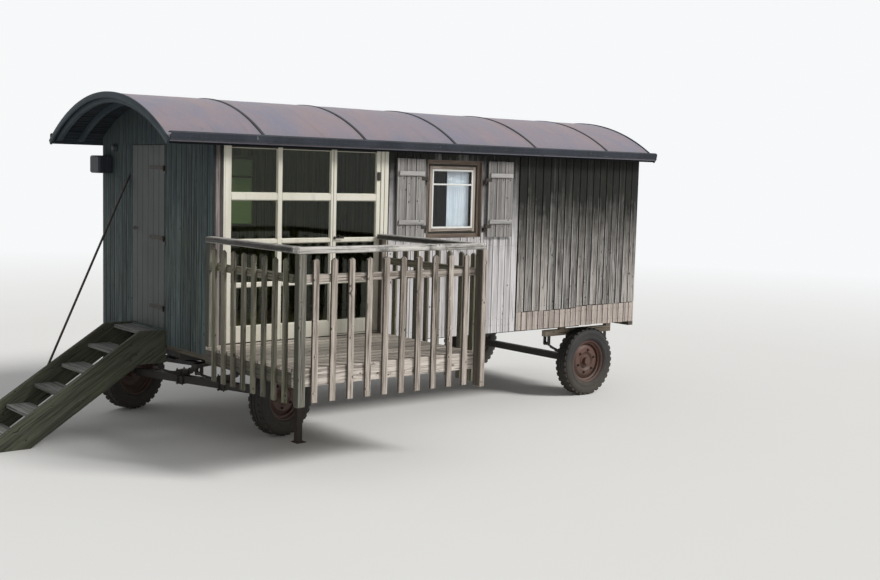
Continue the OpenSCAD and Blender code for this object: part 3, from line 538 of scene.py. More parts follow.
def roofMaterial():
    # Painted sheet: lilac-grey, stained brownish pink, bluish towards the eaves.
    material, tree, shader = newMaterial("roofSheet", Metallic=0.0)
    place = ownPlace(tree)
    parts = axesOf(tree, place)
    stain = speckle(tree, stretch(tree, place, (1.0, 0.55, 0.55)), 1.9, 5.0, 0.62, 0.6)
    fine = speckle(tree, place, 34.0, 4.0, 0.65)
    colour = blend(tree, span(tree, stain, 0.38, 0.62), (0.176, 0.17, 0.226), (0.24, 0.186, 0.202))
    low = span(tree, parts["Z"], 3.12, 2.97)
    colour = tinge(tree, colour, low, 0.6, (0.14, 0.15, 0.19))
    colour = blend(tree, span(tree, fine, 0.5, 0.75, 0.0, 0.4), colour, (0.36, 0.31, 0.35))
    runs = speckle(tree, stretch(tree, place, (14.0, 1.0, 1.0)), 1.4, 3.0, 0.6)
    colour = blend(tree, span(tree, runs, 0.56, 0.8, 0.0, 0.4), colour, (0.125, 0.095, 0.09))
    moss = times(tree, span(tree, speckle(tree, place, 15.0, 5.0, 0.7), 0.6, 0.68), low)
    colour = tinge(tree, colour, moss, 0.7, (0.06, 0.075, 0.03))
    feed(tree, shader.inputs["Base Color"], colour)
    feed(tree, shader.inputs["Roughness"], span(tree, fine, 0.3, 0.7, 0.42, 0.62))
    addBump(tree, shader, plus(tree, fine, moss), 0.001, 0.5)
    return material


def rubberMaterial():
    material, tree, shader = newMaterial("tyreRubber", Specular_IOR_Level=0.35)
    place = ownPlace(tree)
    air = placeGroup(tree, weather, {"Place": place, "Low": 0.05, "High": 0.6})
    fine = speckle(tree, place, 120.0, 4.0, 0.7)
    dust = times(tree, minus(tree, 1.15, air["Rise"]), span(tree, fine, 0.35, 0.7))
    colour = blend(tree, span(tree, air["Blotch"], 0.4, 0.6), (0.018, 0.018, 0.019), (0.032, 0.031, 0.03))
    colour = blend(tree, times(tree, dust, 0.6, clamp=True), colour, (0.135, 0.112, 0.082))
    feed(tree, shader.inputs["Base Color"], colour)
    feed(tree, shader.inputs["Roughness"], span(tree, dust, 0.0, 1.0, 0.68, 0.95))
    addBump(tree, shader, fine, 0.0009, 0.6)
    return material


def glassMaterial():
    # Window glass, tinted olive in the bay and dark green in the far wall, the far green darker higher up:
    # painted reflection of greenery.
    material, tree, shader = newMaterial("paneGlass", Roughness=0.03, IOR=1.28, Transmission_Weight=1.0)
    place = ownPlace(tree)
    parts = axesOf(tree, place)
    far = span(tree, parts["Y"], corner.y + 1.2, corner.y + 1.3)
    paintedGreenery = blend(tree, span(tree, parts["Z"], 2.3, 2.65), (0.055, 0.085, 0.034), (0.024, 0.034, 0.018))
    near = blend(tree, span(tree, parts["X"], corner.x + 2.1, corner.x + 2.2), (0.74, 0.79, 0.58),
                 (0.93, 0.94, 0.94))
    feed(tree, shader.inputs["Base Color"], blend(tree, far, near, paintedGreenery))
    shadow = addNode(tree, "ShaderNodeLightPath").outputs["Is Shadow Ray"]
    clear = addNode(tree, "ShaderNodeBsdfTransparent", {"Color": (0.7, 0.74, 0.7)})
    showMix(tree, shadow, shader, clear)
    return material


def clothMaterial():
    # Thin cotton: threads both ways of the piece's own UV map, in metres.
    material, tree, shader = newMaterial("curtainCloth", Roughness=0.9, Sheen_Weight=0.25)
    weave = addNode(tree, "ShaderNodeUVMap", uv_map="cut").outputs[0]
    across = addNode(tree, "ShaderNodeTexWave", {"Vector": weave, "Scale": 180.0, "Distortion": 0.4},
                     bands_direction="X")
    down = addNode(tree, "ShaderNodeTexWave", {"Vector": weave, "Scale": 180.0, "Distortion": 0.4},
                   bands_direction="Y")
    threads = times(tree, across.outputs["Fac"], down.outputs["Fac"])
    soft = speckle(tree, weave, 5.0, 3.0)
    colour = blend(tree, span(tree, soft, 0.3, 0.7), (0.7, 0.755, 0.83), (0.8, 0.84, 0.89))
    colour = tinge(tree, colour, threads, 0.25, (0.55, 0.6, 0.68))
    feed(tree, shader.inputs["Base Color"], colour)
    addBump(tree, shader, threads, 0.0003, 0.5)
    return material


materials["roofSheet"] = roofMaterial()
materials["tyreRubber"] = rubberMaterial()
materials["paneGlass"] = glassMaterial()
materials["curtainCloth"] = clothMaterial()
print("materials made")


# A pile gathers the points and faces of one piece, with the grain of each board. Most pieces share one,
# which is emptied when a piece is made.
def newPile():
    return {"points": [], "faces": [], "grain": [], "tone": [], "across": []}


pile = newPile()


def addPoints(points, faces, grain=None, tone=0.5, across=None, into=pile):
    first = len(into["points"])
    into["points"].extend(points)
    into["faces"].extend([[first + i for i in face] for face in faces])
    into["grain"].extend(grain if grain else points)
    into["tone"].extend(tone if isinstance(tone, list) else [tone] * len(points))
    into["across"].extend(across if across else [0.0] * len(points))


def addLoft(rings, grain=None, tone=0.5, loop=False, into=pile):
    # Rings of equally many points, capped at both ends, or with the last ring joined to the first.
    size = len(rings[0])
    points = [point for ring in rings for point in ring]
    faces = []
    for row in range(len(rings) if loop else len(rings) - 1):
        nextRow = (row + 1) % len(rings)
        for i in range(size):
            j = (i + 1) % size
            faces.append([row * size + i, row * size + j, nextRow * size + j, nextRow * size + i])
    if not loop:
        faces.append(list(range(size))[::-1])
        faces.append([(len(rings) - 1) * size + i for i in range(size)])
    addPoints(points, faces, grain, tone, into=into)


def grainShift(tone):
    # Each board shows another stretch of the grain.
    return Vector((tone * 17.3, tone * 31.7, tone * 53.1))


def chamferedSection(a, b, cut):
    # Eight corners of a bar that is 2a wide and 2b high.
    return [(a - cut, -b), (a, -b + cut), (a, b - cut), (a - cut, b), (-a + cut, b), (-a, b - cut),
            (-a, -b + cut), (-a + cut, -b)]


def addBar(start, end, wide, high, upright=Vector((0, 0, 1)), cut=0.003, tone=0.5, steps=1, warp=0.0,
           seed=0.0, into=pile):
    # A straight timber or bar from start to end, wide across and high along upright.
    way = (end - start).normalized()
    side = way.cross(upright).normalized()
    up = side.cross(way)
    length = (end - start).length
    cut = min(cut, wide * 0.45, high * 0.45)
    stops = [0.0, cut] + [length * i / steps for i in range(1, steps)] + [length - cut, length]
    rings, grain = [], []
    for number, stop in enumerate(stops):
        inset = cut if number in (0, len(stops) - 1) else 0.0
        drift = warp * noise.noise(Vector((seed, stop * 1.1, 3.7)))
        lift = warp * noise.noise(Vector((seed + 5.0, stop * 1.1, 9.1)))
        ring = []
        for u, v in chamferedSection(wide / 2 - inset, high / 2 - inset, max(cut - inset * 0.5, 0.0005)):
            ring.append(start + way * stop + side * (u + drift) + up * (v + lift))
            grain.append(Vector((u, v, stop)) + grainShift(tone))
        rings.append(ring)
    addLoft(rings, grain, tone, into=into)


def addBlock(low, high, along="x", **settings):
    # A bar given by its two corners, in the hut's own places.
    low, high = at(*low), at(*high)
    centre = (low + high) / 2
    size = high - low
    axis = "xyz".index(along)
    start, end = centre.copy(), centre.copy()
    start[axis], end[axis] = low[axis], high[axis]
    if along == "z":
        addBar(start, end, size.x, size.y, Vector((0, 1, 0)), **settings)
    else:
        addBar(start, end, size.y if along == "x" else size.x, size.z, **settings)


def addMesh(mesh, matrix=Matrix()):
    # A mesh with the grain, tone and breadth that its points carry, if they carry any.
    points = [matrix @ vertex.co for vertex in mesh.vertices]
    faces = [list(face.vertices) for face in mesh.polygons]
    grain, tone, across = [mesh.attributes.get(name) for name in ("grainPlace", "boardTone", "boardAcross")]
    addPoints(points, faces, [Vector(item.vector) for item in grain.data] if grain else None,
              [item.value for item in tone.data] if tone else 0.5,
              [item.value for item in across.data] if across else None)


def addTurned(profile, matrix, steps):
    # A closed profile of (radius, place along the axis) turned about the local Z.
    rings = []
    for step in range(steps):
        angle = 2 * math.pi * step / steps
        rings.append([matrix @ Vector((r * math.cos(angle), r * math.sin(angle), z)) for r, z in profile])
    addLoft(rings, loop=True)


def dress(piece, body, replaced=()):
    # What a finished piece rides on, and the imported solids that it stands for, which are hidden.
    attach(piece, body)
    if replaced:
        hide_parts(*replaced)


def meshOfPile(name, pile):
    mesh = bpy.data.meshes.new(name)
    mesh.from_pydata([tuple(point) for point in pile["points"]], [], pile["faces"])
    grain = mesh.attributes.new("grainPlace", "FLOAT_VECTOR", "POINT")
    grain.data.foreach_set("vector", [value for vector in pile["grain"] for value in vector])
    return mesh


def finishPiece(name, material, replaced=(), body="hut", smooth=None, source=pile):
    # Makes the pile one piece, with its finish given by name, and empties it.
    mesh = meshOfPile(name, source)
    for label in ("tone", "across"):
        layer = mesh.attributes.new("board" + label.title(), "FLOAT", "POINT")
        layer.data.foreach_set("value", source[label])
    for gathered in source.values():
        gathered.clear()
    work = bmesh.new()
    work.from_mesh(mesh)
    bmesh.ops.recalc_face_normals(work, faces=work.faces)
    work.to_mesh(mesh)
    work.free()
    mesh.materials.append(materials[material])
    if smooth is not None:
        mesh.shade_smooth()
        mesh.set_sharp_from_angle(angle=math.radians(smooth))
    dress(addObject(name, mesh), body, replaced)


def setBack(name, node, low, high):
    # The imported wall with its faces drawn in, to leave room for boards on it.
    boxLow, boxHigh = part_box(node)
    near = 0.0005
    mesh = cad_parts[node].data.copy()
    work = bmesh.new()
    work.from_mesh(mesh)
    bmesh.ops.remove_doubles(work, verts=work.verts, dist=0.00001)
    for vertex in work.verts:
        for axis in range(3):
            if abs(vertex.co[axis] - boxLow[axis]) < near:
                vertex.co[axis] += low[axis]
            elif abs(vertex.co[axis] - boxHigh[axis]) < near:
                vertex.co[axis] -= high[axis]
    work.to_mesh(mesh)
    work.free()
    # Its near-black finish is painted shade in the gaps between the boards.
    mesh.materials.clear()
    mesh.materials.append(materials["shadedCore"])
    dress(addObject(name, mesh), "hut", [node])


def paintNode(node, material):
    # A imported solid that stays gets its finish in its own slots.
    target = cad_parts[node]
    if not target.material_slots:
        target.data.materials.append(materials[material])
    for held in target.material_slots:
        held.material = materials[material]


def grow(tree, values, start=None):
    # Runs a tree once and gives its result as a plain mesh.
    maker = addObject("maker", start or bpy.data.meshes.new("maker"))
    modifier = maker.modifiers.new("maker", "NODES")
    modifier.node_group = tree
    for item in tree.interface.items_tree:
        if item.item_type == "SOCKET" and item.in_out == "INPUT" and item.name in values:
            modifier[item.identifier] = values[item.name]
    evaluated = maker.evaluated_get(bpy.context.evaluated_depsgraph_get())
    mesh = bpy.data.meshes.new_from_object(evaluated)
    maker.modifiers.remove(modifier)
    bpy.data.objects.remove(maker)
    return mesh


def store(tree, geometry, name, value, kind="FLOAT", domain="POINT"):
    node = addNode(tree, "GeometryNodeStoreNamedAttribute", {"Geometry": geometry, "Name": name},
                   data_type=kind, domain=domain)
    feed(tree, node.inputs["Value"], value)
    return node.outputs[0]


def recall(tree, name, kind="FLOAT"):
    return addNode(tree, "GeometryNodeInputNamedAttribute", {"Name": name}, data_type=kind).outputs[0]


def shiftedGrain(tree, place):
    # Each board shows another stretch of the grain, as grainShift does for a single timber.
    tone = recall(tree, "boardTone")
    shift = xyz(tree, *(times(tree, tone, step) for step in (17.0, 31.0, 53.0)))
    return vectorCalc(tree, "ADD", place, shift)


def randomly(tree, low, high, seed):
    # A random value for each point.
    node = addNode(tree, "FunctionNodeRandomValue", data_type="FLOAT")
    feed(tree, node.inputs[2], low)
    feed(tree, node.inputs[3], high)
    feed(tree, node.inputs["Seed"], seed)
    return node.outputs[1]


def copiesOn(tree, points, piece, turned=None):
    # The piece on every point, realised at once.
    sockets = {"Points": points, "Instance": piece}
    if turned is not None:
        sockets["Rotation"] = turned
    copies = addNode(tree, "GeometryNodeInstanceOnPoints", sockets).outputs[0]
    return addNode(tree, "GeometryNodeRealizeInstances", {"Geometry": copies}).outputs[0]


def moved(tree, geometry, **where):
    return addNode(tree, "GeometryNodeSetPosition", {"Geometry": geometry, **where}).outputs[0]


def turnedBy(tree, euler):
    return addNode(tree, "FunctionNodeEulerToRotation", {"Euler": euler}).outputs[0]


def finishTree(tree, geometry, material, output):
    painted = addNode(tree, "GeometryNodeSetMaterial", {"Geometry": geometry, "Material": material})
    tree.links.new(painted.outputs[0], output)


# A run of boards side by side: run along +X, lengths along +Z, faces towards -Y.
# Arch Radius trims their tops to an arch; Wrap Radius bends the run round one.
boardPanel, given, made = newGroup("boardPanel", "GeometryNodeTree", {
    "Run": 1.0, "Length": 1.0, "Pitch": 0.1, "Gap": 0.003, "Thickness": 0.016, "Corner": 0.002,
    "Depth Jitter": 0.0, "End Jitter": 0.0, "Bow": 0.0, "Arch Radius": 0.0, "Arch Run": 0.0, "Arch Z": 0.0,
    "Wrap Radius": 0.0, "Seed": 1, "Material": "Material"}, ["Geometry"])
tree = boardPanel
count = calc(tree, "MAXIMUM", calc(tree, "ROUND", calc(tree, "DIVIDE", given["Run"], given["Pitch"])), 1.0)
pitch = calc(tree, "DIVIDE", given["Run"], count)
halfPitch = times(tree, pitch, 0.5)
row = addNode(tree, "GeometryNodeMeshLine", {
    "Count": count, "Start Location": xyz(tree, halfPitch, 0.0, 0.0), "Offset": xyz(tree, pitch, 0.0, 0.0)})
row = store(tree, row.outputs[0], "boardTone", randomly(tree, 0.0, 1.0, given["Seed"]))
row = store(tree, row, "boardMid", axesOf(tree, addNode(tree, "GeometryNodeInputPosition").outputs[0])["X"])
row = store(tree, row, "boardTop", randomly(tree, -1.0, 1.0, plus(tree, given["Seed"], 11.0)))
row = store(tree, row, "boardFoot", randomly(tree, -1.0, 1.0, plus(tree, given["Seed"], 23.0)))
depth = times(tree, randomly(tree, 0.0, 1.0, plus(tree, given["Seed"], 37.0)), given["Depth Jitter"])
row = moved(tree, row, Offset=xyz(tree, 0.0, depth, 0.0))
section = addNode(tree, "GeometryNodeCurvePrimitiveQuadrilateral",
                  {"Width": minus(tree, pitch, given["Gap"]), "Height": given["Thickness"]})
section = addNode(tree, "GeometryNodeFilletCurve", {"Curve": section.outputs[0]}, mode="POLY")
feed(tree, section.inputs["Count"], 1)
feed(tree, section.inputs["Radius"], given["Corner"])
spine = addNode(tree, "GeometryNodeCurvePrimitiveLine")
feed(tree, spine.inputs["End"], xyz(tree, 0.0, 0.0, given["Length"]))
spine = addNode(tree, "GeometryNodeResampleCurve", {"Curve": spine.outputs[0], "Count": 12})
board = addNode(tree, "GeometryNodeCurveToMesh", {
    "Curve": spine.outputs[0], "Profile Curve": section.outputs[0], "Fill Caps": True})
middle = xyz(tree, 0.0, times(tree, given["Thickness"], 0.5), 0.0)
board = addNode(tree, "GeometryNodeTransform", {"Geometry": board.outputs[0], "Translation": middle})
boards = copiesOn(tree, row, board.outputs[0])
tone = recall(tree, "boardTone")
where = addNode(tree, "GeometryNodeInputPosition").outputs[0]
boards = store(tree, boards, "grainPlace", shiftedGrain(tree, where), "FLOAT_VECTOR")
parts = axesOf(tree, where)
fromMid = minus(tree, parts["X"], recall(tree, "boardMid"))
halfWide = times(tree, minus(tree, pitch, given["Gap"]), 0.5)
boards = store(tree, boards, "boardAcross", calc(tree, "DIVIDE", fromMid, halfWide))
share = calc(tree, "DIVIDE", parts["Z"], given["Length"])
across = minus(tree, parts["X"], given["Arch Run"])
archRise = minus(tree, times(tree, given["Arch Radius"], given["Arch Radius"]), times(tree, across, across))
archTop = plus(tree, given["Arch Z"], calc(tree, "SQRT", calc(tree, "MAXIMUM", archRise, 0.0)))
arched = calc(tree, "GREATER_THAN", given["Arch Radius"], 0.001)
topZ = plus(tree, times(tree, arched, calc(tree, "MINIMUM", archTop, given["Length"])),
            times(tree, minus(tree, 1.0, arched), given["Length"]))
topZ = plus(tree, topZ, times(tree, times(tree, recall(tree, "boardTop"), given["End Jitter"]),
                              minus(tree, 1.0, arched)))
footZ = times(tree, recall(tree, "boardFoot"), given["End Jitter"])
newZ = plus(tree, footZ, times(tree, share, minus(tree, topZ, footZ)))
warpPlace = xyz(tree, times(tree, tone, 91.0), 0.0, times(tree, parts["Z"], 1.3))
warp = times(tree, minus(tree, speckle(tree, warpPlace, 1.0, 1.0), 0.5), given["Bow"])
newY = plus(tree, parts["Y"], calc(tree, "ABSOLUTE", warp))
flat = xyz(tree, parts["X"], newY, newZ)
wrapped = calc(tree, "GREATER_THAN", given["Wrap Radius"], 0.001)
angle = calc(tree, "DIVIDE", minus(tree, parts["X"], times(tree, given["Run"], 0.5)),
             calc(tree, "MAXIMUM", given["Wrap Radius"], 0.001))
reach = plus(tree, given["Wrap Radius"], newY)
bent = xyz(tree, times(tree, reach, calc(tree, "SINE", angle)),
           times(tree, reach, calc(tree, "COSINE", angle)), newZ)
choice = addNode(tree, "ShaderNodeMix", data_type="VECTOR")
for index, value in ((0, wrapped), (4, flat), (5, bent)):
    feed(tree, choice.inputs[index], value)
boards = moved(tree, boards, Position=choice.outputs[1])
finishTree(tree, boards, given["Material"], made["Geometry"])

# Copies of a given piece in a straight row, each a little out of true.
repeatRow, given, made = newGroup("repeatRow", "GeometryNodeTree", {
    "Piece": "Geometry", "Count": 2, "Step": "Vector", "Lean": 0.0, "Sink": 0.0, "Seed": 1,
    "Material": "Material"}, ["Geometry"])
tree = repeatRow
row = addNode(tree, "GeometryNodeMeshLine", {"Count": given["Count"], "Offset": given["Step"]}).outputs[0]
row = store(tree, row, "boardTone", randomly(tree, 0.0, 1.0, given["Seed"]))
sink = times(tree, randomly(tree, -1.0, 0.0, plus(tree, given["Seed"], 5.0)), given["Sink"])
row = moved(tree, row, Offset=xyz(tree, 0.0, 0.0, sink))
lean = times(tree, randomly(tree, -1.0, 1.0, plus(tree, given["Seed"], 9.0)), given["Lean"])
copies = copiesOn(tree, row, given["Piece"], turnedBy(tree, xyz(tree, 0.0, lean, 0.0)))
grain = shiftedGrain(tree, recall(tree, "grainPlace", "FLOAT_VECTOR"))
copies = store(tree, copies, "grainPlace", grain, "FLOAT_VECTOR")
finishTree(tree, copies, given["Material"], made["Geometry"])

# Copies of a given piece round the local Z, as tread blocks or wheel nuts.
repeatRound, given, made = newGroup("repeatRound", "GeometryNodeTree", {
    "Piece": "Geometry", "Count": 8, "Radius": 0.1, "Start": 0.0, "Material": "Material"}, ["Geometry"])
tree = repeatRound
row = addNode(tree, "GeometryNodeMeshLine", {"Count": given["Count"]}).outputs[0]
number = addNode(tree, "GeometryNodeInputIndex").outputs[0]
angle = plus(tree, given["Start"], calc(tree, "DIVIDE", times(tree, number, 2 * math.pi), given["Count"]))
spot = xyz(tree, times(tree, given["Radius"], calc(tree, "COSINE", angle)),
           times(tree, given["Radius"], calc(tree, "SINE", angle)), 0.0)
row = moved(tree, row, Position=spot)
copies = copiesOn(tree, row, given["Piece"], turnedBy(tree, xyz(tree, 0.0, 0.0, angle)))
finishTree(tree, copies, given["Material"], made["Geometry"])

# A low head on each given point: nails, screws and bolt heads.
headsOnPoints, given, made = newGroup("headsOnPoints", "GeometryNodeTree", {
    "Points": "Geometry", "Radius": 0.004, "Depth": 0.002, "Sides": 8, "Aim": "Vector",
    "Material": "Material"}, ["Geometry"])
tree = headsOnPoints
head = addNode(tree, "GeometryNodeMeshCylinder", {
    "Vertices": given["Sides"], "Radius": given["Radius"], "Depth": given["Depth"]})
copies = copiesOn(tree, given["Points"], head.outputs[0], turnedBy(tree, given["Aim"]))
finishTree(tree, copies, given["Material"], made["Geometry"])
print("node trees made")


def facing(side, x, y, z):
    # Where a board panel stands when its faces look towards side.
    turns = {"-y": ((1, 0, 0), (0, 1, 0), (0, 0, 1)), "+y": ((-1, 0, 0), (0, -1, 0), (0, 0, 1)),
             "-x": ((0, -1, 0), (1, 0, 0), (0, 0, 1)), "+x": ((0, 1, 0), (-1, 0, 0), (0, 0, 1)),
             "+z": ((0, -1, 0), (0, 0, -1), (1, 0, 0))}[side]
    turn = Matrix([list(column) for column in turns]).transposed().to_4x4()
    return Matrix.Translation(at(x, y, z)) @ turn


def aimed(x, y, z, quarters=0, axis="X"):
    # A place in the hut, turned by quarters of a turn about one axis.
    return Matrix.Translation(at(x, y, z)) @ Matrix.Rotation(quarters * math.pi / 2, 4, axis)


panelInputs = {"pitch": "Pitch", "gap": "Gap", "thick": "Thickness", "corner": "Corner",
               "depth": "Depth Jitter", "ends": "End Jitter", "bow": "Bow", "archRadius": "Arch Radius",
               "archRun": "Arch Run", "archZ": "Arch Z", "wrap": "Wrap Radius"}


def growPanel(run, length, look, seed, **extra):
    # A run of boards as a plain mesh; look and extra hold the sizes of its boards.
    values = {"Run": run, "Length": length, "Seed": seed}
    values.update({panelInputs[key]: float(value) for key, value in {**look, **extra}.items()})
    return grow(boardPanel, values)


def addPanel(side, place, run, length, look, seed, **extra):
    mesh = growPanel(run, length, look, seed, **extra)
    addMesh(mesh, facing(side, *place))
    bpy.data.meshes.remove(mesh)


def addHeads(places, side, radius=0.0035, depth=0.003, sides=8):
    aims = {"-y": (math.pi / 2, 0, 0), "+y": (-math.pi / 2, 0, 0), "+z": (0, 0, 0)}
    dots = bpy.data.meshes.new("dots")
    dots.from_pydata([tuple(at(*place)) for place in places], [], [])
    mesh = grow(headsOnPoints, {"Radius": radius, "Depth": depth, "Sides": sides, "Aim": aims[side]}, dots)
    addMesh(mesh)
    bpy.data.meshes.remove(mesh)


def addSleeve(matrix, bore, outer, high, steps=32):
    # The knuckle of a hinge, open round its pin.
    addTurned([(bore, 0.0), (outer, 0.0), (outer, high), (bore, high)], matrix, steps)


def addKnob(matrix, rose, roseThick, neck, neckFrom, long, steps):
    # A round plate with a spindle on it.
    addTurned([(0.0, 0.0), (rose, 0.0), (rose, roseThick), (neck, neckFrom), (neck, long), (0.0, long)],
              matrix, steps)


camera = {"lens": 48.58, "sensor": 36.0, "pitch": 0.098, "yaw": 0.6897, "roll": 0.0266, "farthest": 200.0,
          "place": (-5.4668, -10.0222, 2.7056)}
eye = addObject("camera", bpy.data.cameras.new("camera"))
bpy.context.scene.camera = eye
eye.data.lens = camera["lens"]
eye.data.sensor_width = camera["sensor"]
eye.data.clip_end = camera["farthest"]
level, yaw, roll = math.cos(camera["pitch"]), camera["yaw"], camera["roll"]
dip = math.sin(camera["pitch"])
rightWay = Vector((math.cos(yaw), -math.sin(yaw), 0.0))
ahead = Vector((level * math.sin(yaw), level * math.cos(yaw), -dip))
upWay = Vector((dip * math.sin(yaw), dip * math.cos(yaw), level))
axisX = math.cos(roll) * rightWay + math.sin(roll) * upWay
axisY = -math.sin(roll) * rightWay + math.cos(roll) * upWay
turn = Matrix((axisX, axisY, -ahead)).transposed().to_4x4()
eye.matrix_world = Matrix.Translation(at(*camera["place"])) @ turn

walls = {
    "boards": {"pitch": 0.094, "gap": 0.005, "thick": 0.016, "corner": 0.003, "depth": 0.002, "bow": 0.003},
    "rightBoards": {"pitch": 0.12, "gap": 0.009, "thick": 0.016, "corner": 0.003, "depth": 0.0025,
                    "bow": 0.004},
    "lowPitch": 0.093,
    "lining": {"pitch": 0.11, "gap": 0.0015, "thick": 0.01, "corner": 0.002},
    "boardRoom": 0.017,
    "liningRoom": 0.011,
    "seat": 0.0165,
    "bayRight": 2.02,
    "coverStrips": ((0.1155, 0.1345), (2.0205, 2.0695)),
    "coverFoot": 0.114,
    "corner": ((0.017, 0.029), (0.03, 0.0755), (0.0765, 0.1145)),
    "window": (2.585, 2.0, 0.79, 0.85),
    "backWindow": (1.1, 2.0, 0.8, 0.85),
    "jointX": 3.94,
    "jointGap": 0.012,
    "lastBoards": 0.13,
    "lowSeam": 1.12,
    "seamStep": (4.95, 0.025),
    "seamGap": 0.007,
    "entry": (0.96, 1.79),
    "entryTop": 2.92,
    "endPitch": 0.107,
    "rearPitch": 0.118,
    "archHigh": 0.48,
    "underRoof": 0.046,
}
length, width, cladZ, eaveZ = hut["length"], hut["width"], hut["cladZ"], hut["eaveZ"]
thick = hut["boardThick"]
winX, winZ, winWide, winHigh = walls["window"]
winRight, winTop = winX + winWide, winZ + winHigh

room, lined = walls["boardRoom"], walls["liningRoom"]
for name, node, slotName, low, high in (
        ("wall_front_left_core", "front_wall_left", "front_boards", (room, room, 0), (0, lined, 0)),
        ("wall_front_right_core", "front_wall_right", "front_boards", (0, room, 0), (room, lined, 0)),
        ("wall_end_near_core", "end_wall_near", "end_boards", (room, 0, 0), (lined, 0, 0)),
        ("wall_end_far_core", "end_wall_far", "end_boards", (room, 0, 0), (lined, 0, 0)),
        ("wall_end_arch_core", "end_wall_arch", "end_boards", (room, 0, 0), (lined, 0, 0)),
        ("wall_rear_core", "rear_end_wall", "front_boards", (lined, 0, 0), (room, 0, 0)),
        ("wall_back_core", "back_wall", "front_boards", (room, lined, 0), (room, room, 0))):
    setBack(name, node, low, high)


def addRound(side, x0, x1, y, foot, window, look, seeds):
    # Boards in a long wall beside, under, over and again beside its window.
    x, z, wide, high = window
    first, last = (x0, x), (x + wide, x1)
    if side == "+y":
        first, last = last, first
    middle = (x, x + wide)
    for seed, (a, b), low, top in zip(seeds, (first, middle, middle, last), (foot, foot, z + high, foot),
                                      (eaveZ, z, eaveZ, eaveZ)):
        addPanel(side, (b if side == "+y" else a, y, low), b - a, top - low, look, seed)


midLeft = walls["coverStrips"][1][1] + 0.001
jointX = walls["jointX"]
addRound("-y", midLeft, jointX, 0, cladZ, walls["window"], walls["boards"], (5, 7, 9, 11))
finishPiece("wall_front_boards_mid", "midBoards")

# beside the bay: a pale corner board between two dark ones, whose dark colour is painted shade
seat = walls["seat"]
edgeBoard, paleBoard, innerBoard = walls["corner"]
addBlock((innerBoard[0], 0.003, cladZ), (innerBoard[1], seat, eaveZ), "z", cut=0.002, tone=0.7, steps=6)
addBlock((edgeBoard[0], 0.002, cladZ), (edgeBoard[1], seat, eaveZ), "z", cut=0.002, tone=0.3, steps=6)
finishPiece("wall_corner_boards_dark", "cornerBoards")
addBlock((paleBoard[0], 0.0003, cladZ), (paleBoard[1], seat, eaveZ), "z", tone=0.4, steps=8)
finishPiece("wall_corner_strip", "cornerStrip")
coverZ = cladZ + walls["coverFoot"]
for number, (x0, x1) in enumerate(walls["coverStrips"]):
    addBlock((x0, 0.011, coverZ + 0.001), (x1, 0.0168, eaveZ), "z", cut=0.0015, tone=0.3 + 0.4 * number)
finishPiece("bay_cover_strips", "cream")
x0, x1 = walls["coverStrips"][1]
addBlock((x0, 0.001, cladZ), (x1, seat, coverZ), "z", cut=0.002)
finishPiece("bay_cover_foot", "midBoards")

# right of the open joint: long boards over a strip of short ones, their seam stepped
rightX = jointX + walls["jointGap"]
stepX, stepHigh = walls["seamStep"]
lastX = length - walls["lastBoards"]
seamNear, seamFar = walls["lowSeam"], walls["lowSeam"] + stepHigh
look = walls["rightBoards"]
for seed, x0, x1, seam in ((13, rightX, stepX, seamNear), (12, stepX, lastX, seamFar),
                           (14, lastX, length, seamFar)):
    addPanel("-y", (x0, 0, seam), x1 - x0, eaveZ - seam, look, seed, ends=0.004)
finishPiece("wall_front_boards_right", "frontBoards")
for seed, x0, x1, seam in ((15, rightX, stepX, seamNear), (16, stepX, length, seamFar)):
    addPanel("-y", (x0, 0, cladZ), x1 - x0, seam - cladZ - walls["seamGap"], look, seed,
             pitch=walls["lowPitch"], ends=0.003)
finishPiece("wall_front_boards_low", "lowBoards")

look = dict(walls["boards"], pitch=walls["endPitch"])
entryNear, entryFar = walls["entry"]
entryTop = walls["entryTop"]
archRadius = roofRadius - walls["underRoof"]
addPanel("-x", (0, entryNear, cladZ), entryNear, entryTop - cladZ, look, 17)
addPanel("-x", (0, width, cladZ), width - entryFar, entryTop - cladZ, look, 19)
addPanel("-x", (0, width, entryTop), width, walls["archHigh"], look, 21, archRadius=archRadius,
         archRun=width - archY, archZ=archZ - entryTop)
finishPiece("wall_end_boards", "endBoards")

look = dict(walls["boards"], pitch=walls["rearPitch"])
addPanel("+x", (length, thick + 0.001, cladZ), width - 2 * thick - 0.002, 2.5, look, 23,
         archRadius=archRadius, archRun=archY - thick, archZ=archZ - cladZ)
finishPiece("wall_rear_boards", "frontBoards")

addRound("+y", thick + 0.001, length, width, cladZ, walls["backWindow"], walls["rightBoards"],
         (25, 27, 29, 31))
finishPiece("wall_back_boards", "frontBoards")

# the lining inside, seen through the panes
look = walls["lining"]
inner = hut["wallThick"]
floorZ = hut["floorZ"]
farX, farY = length - inner, width - inner
roomWide = width - 2 * inner
addRound("-y", inner, farX, farY, floorZ, walls["backWindow"], look, range(41, 45))
addRound("+y", walls["bayRight"], farX, inner, floorZ, walls["window"], look, range(45, 49))
addPanel("-x", (farX, farY, floorZ), roomWide, 2.4, look, 49, archRadius=archRadius, archRun=archY - inner,
         archZ=archZ - floorZ)
addPanel("+x", (inner, inner, floorZ), entryNear - inner, entryTop - floorZ, look, 50)
addPanel("+x", (inner, entryFar, floorZ), farY - entryFar, entryTop - floorZ, look, 51)
addPanel("+x", (inner, inner, entryTop), roomWide, walls["archHigh"], look, 52, archRadius=archRadius,
         archRun=archY - inner, archZ=archZ - entryTop)
finishPiece("lining_boards", "lining")

addPanel("+z", (inner + 0.001, farY, floorZ), roomWide, length - 2 * inner - 0.002, look, 53, pitch=0.14,
         thick=0.045)
finishPiece("floor_boards", "floorboards", ["cabin_floor"])

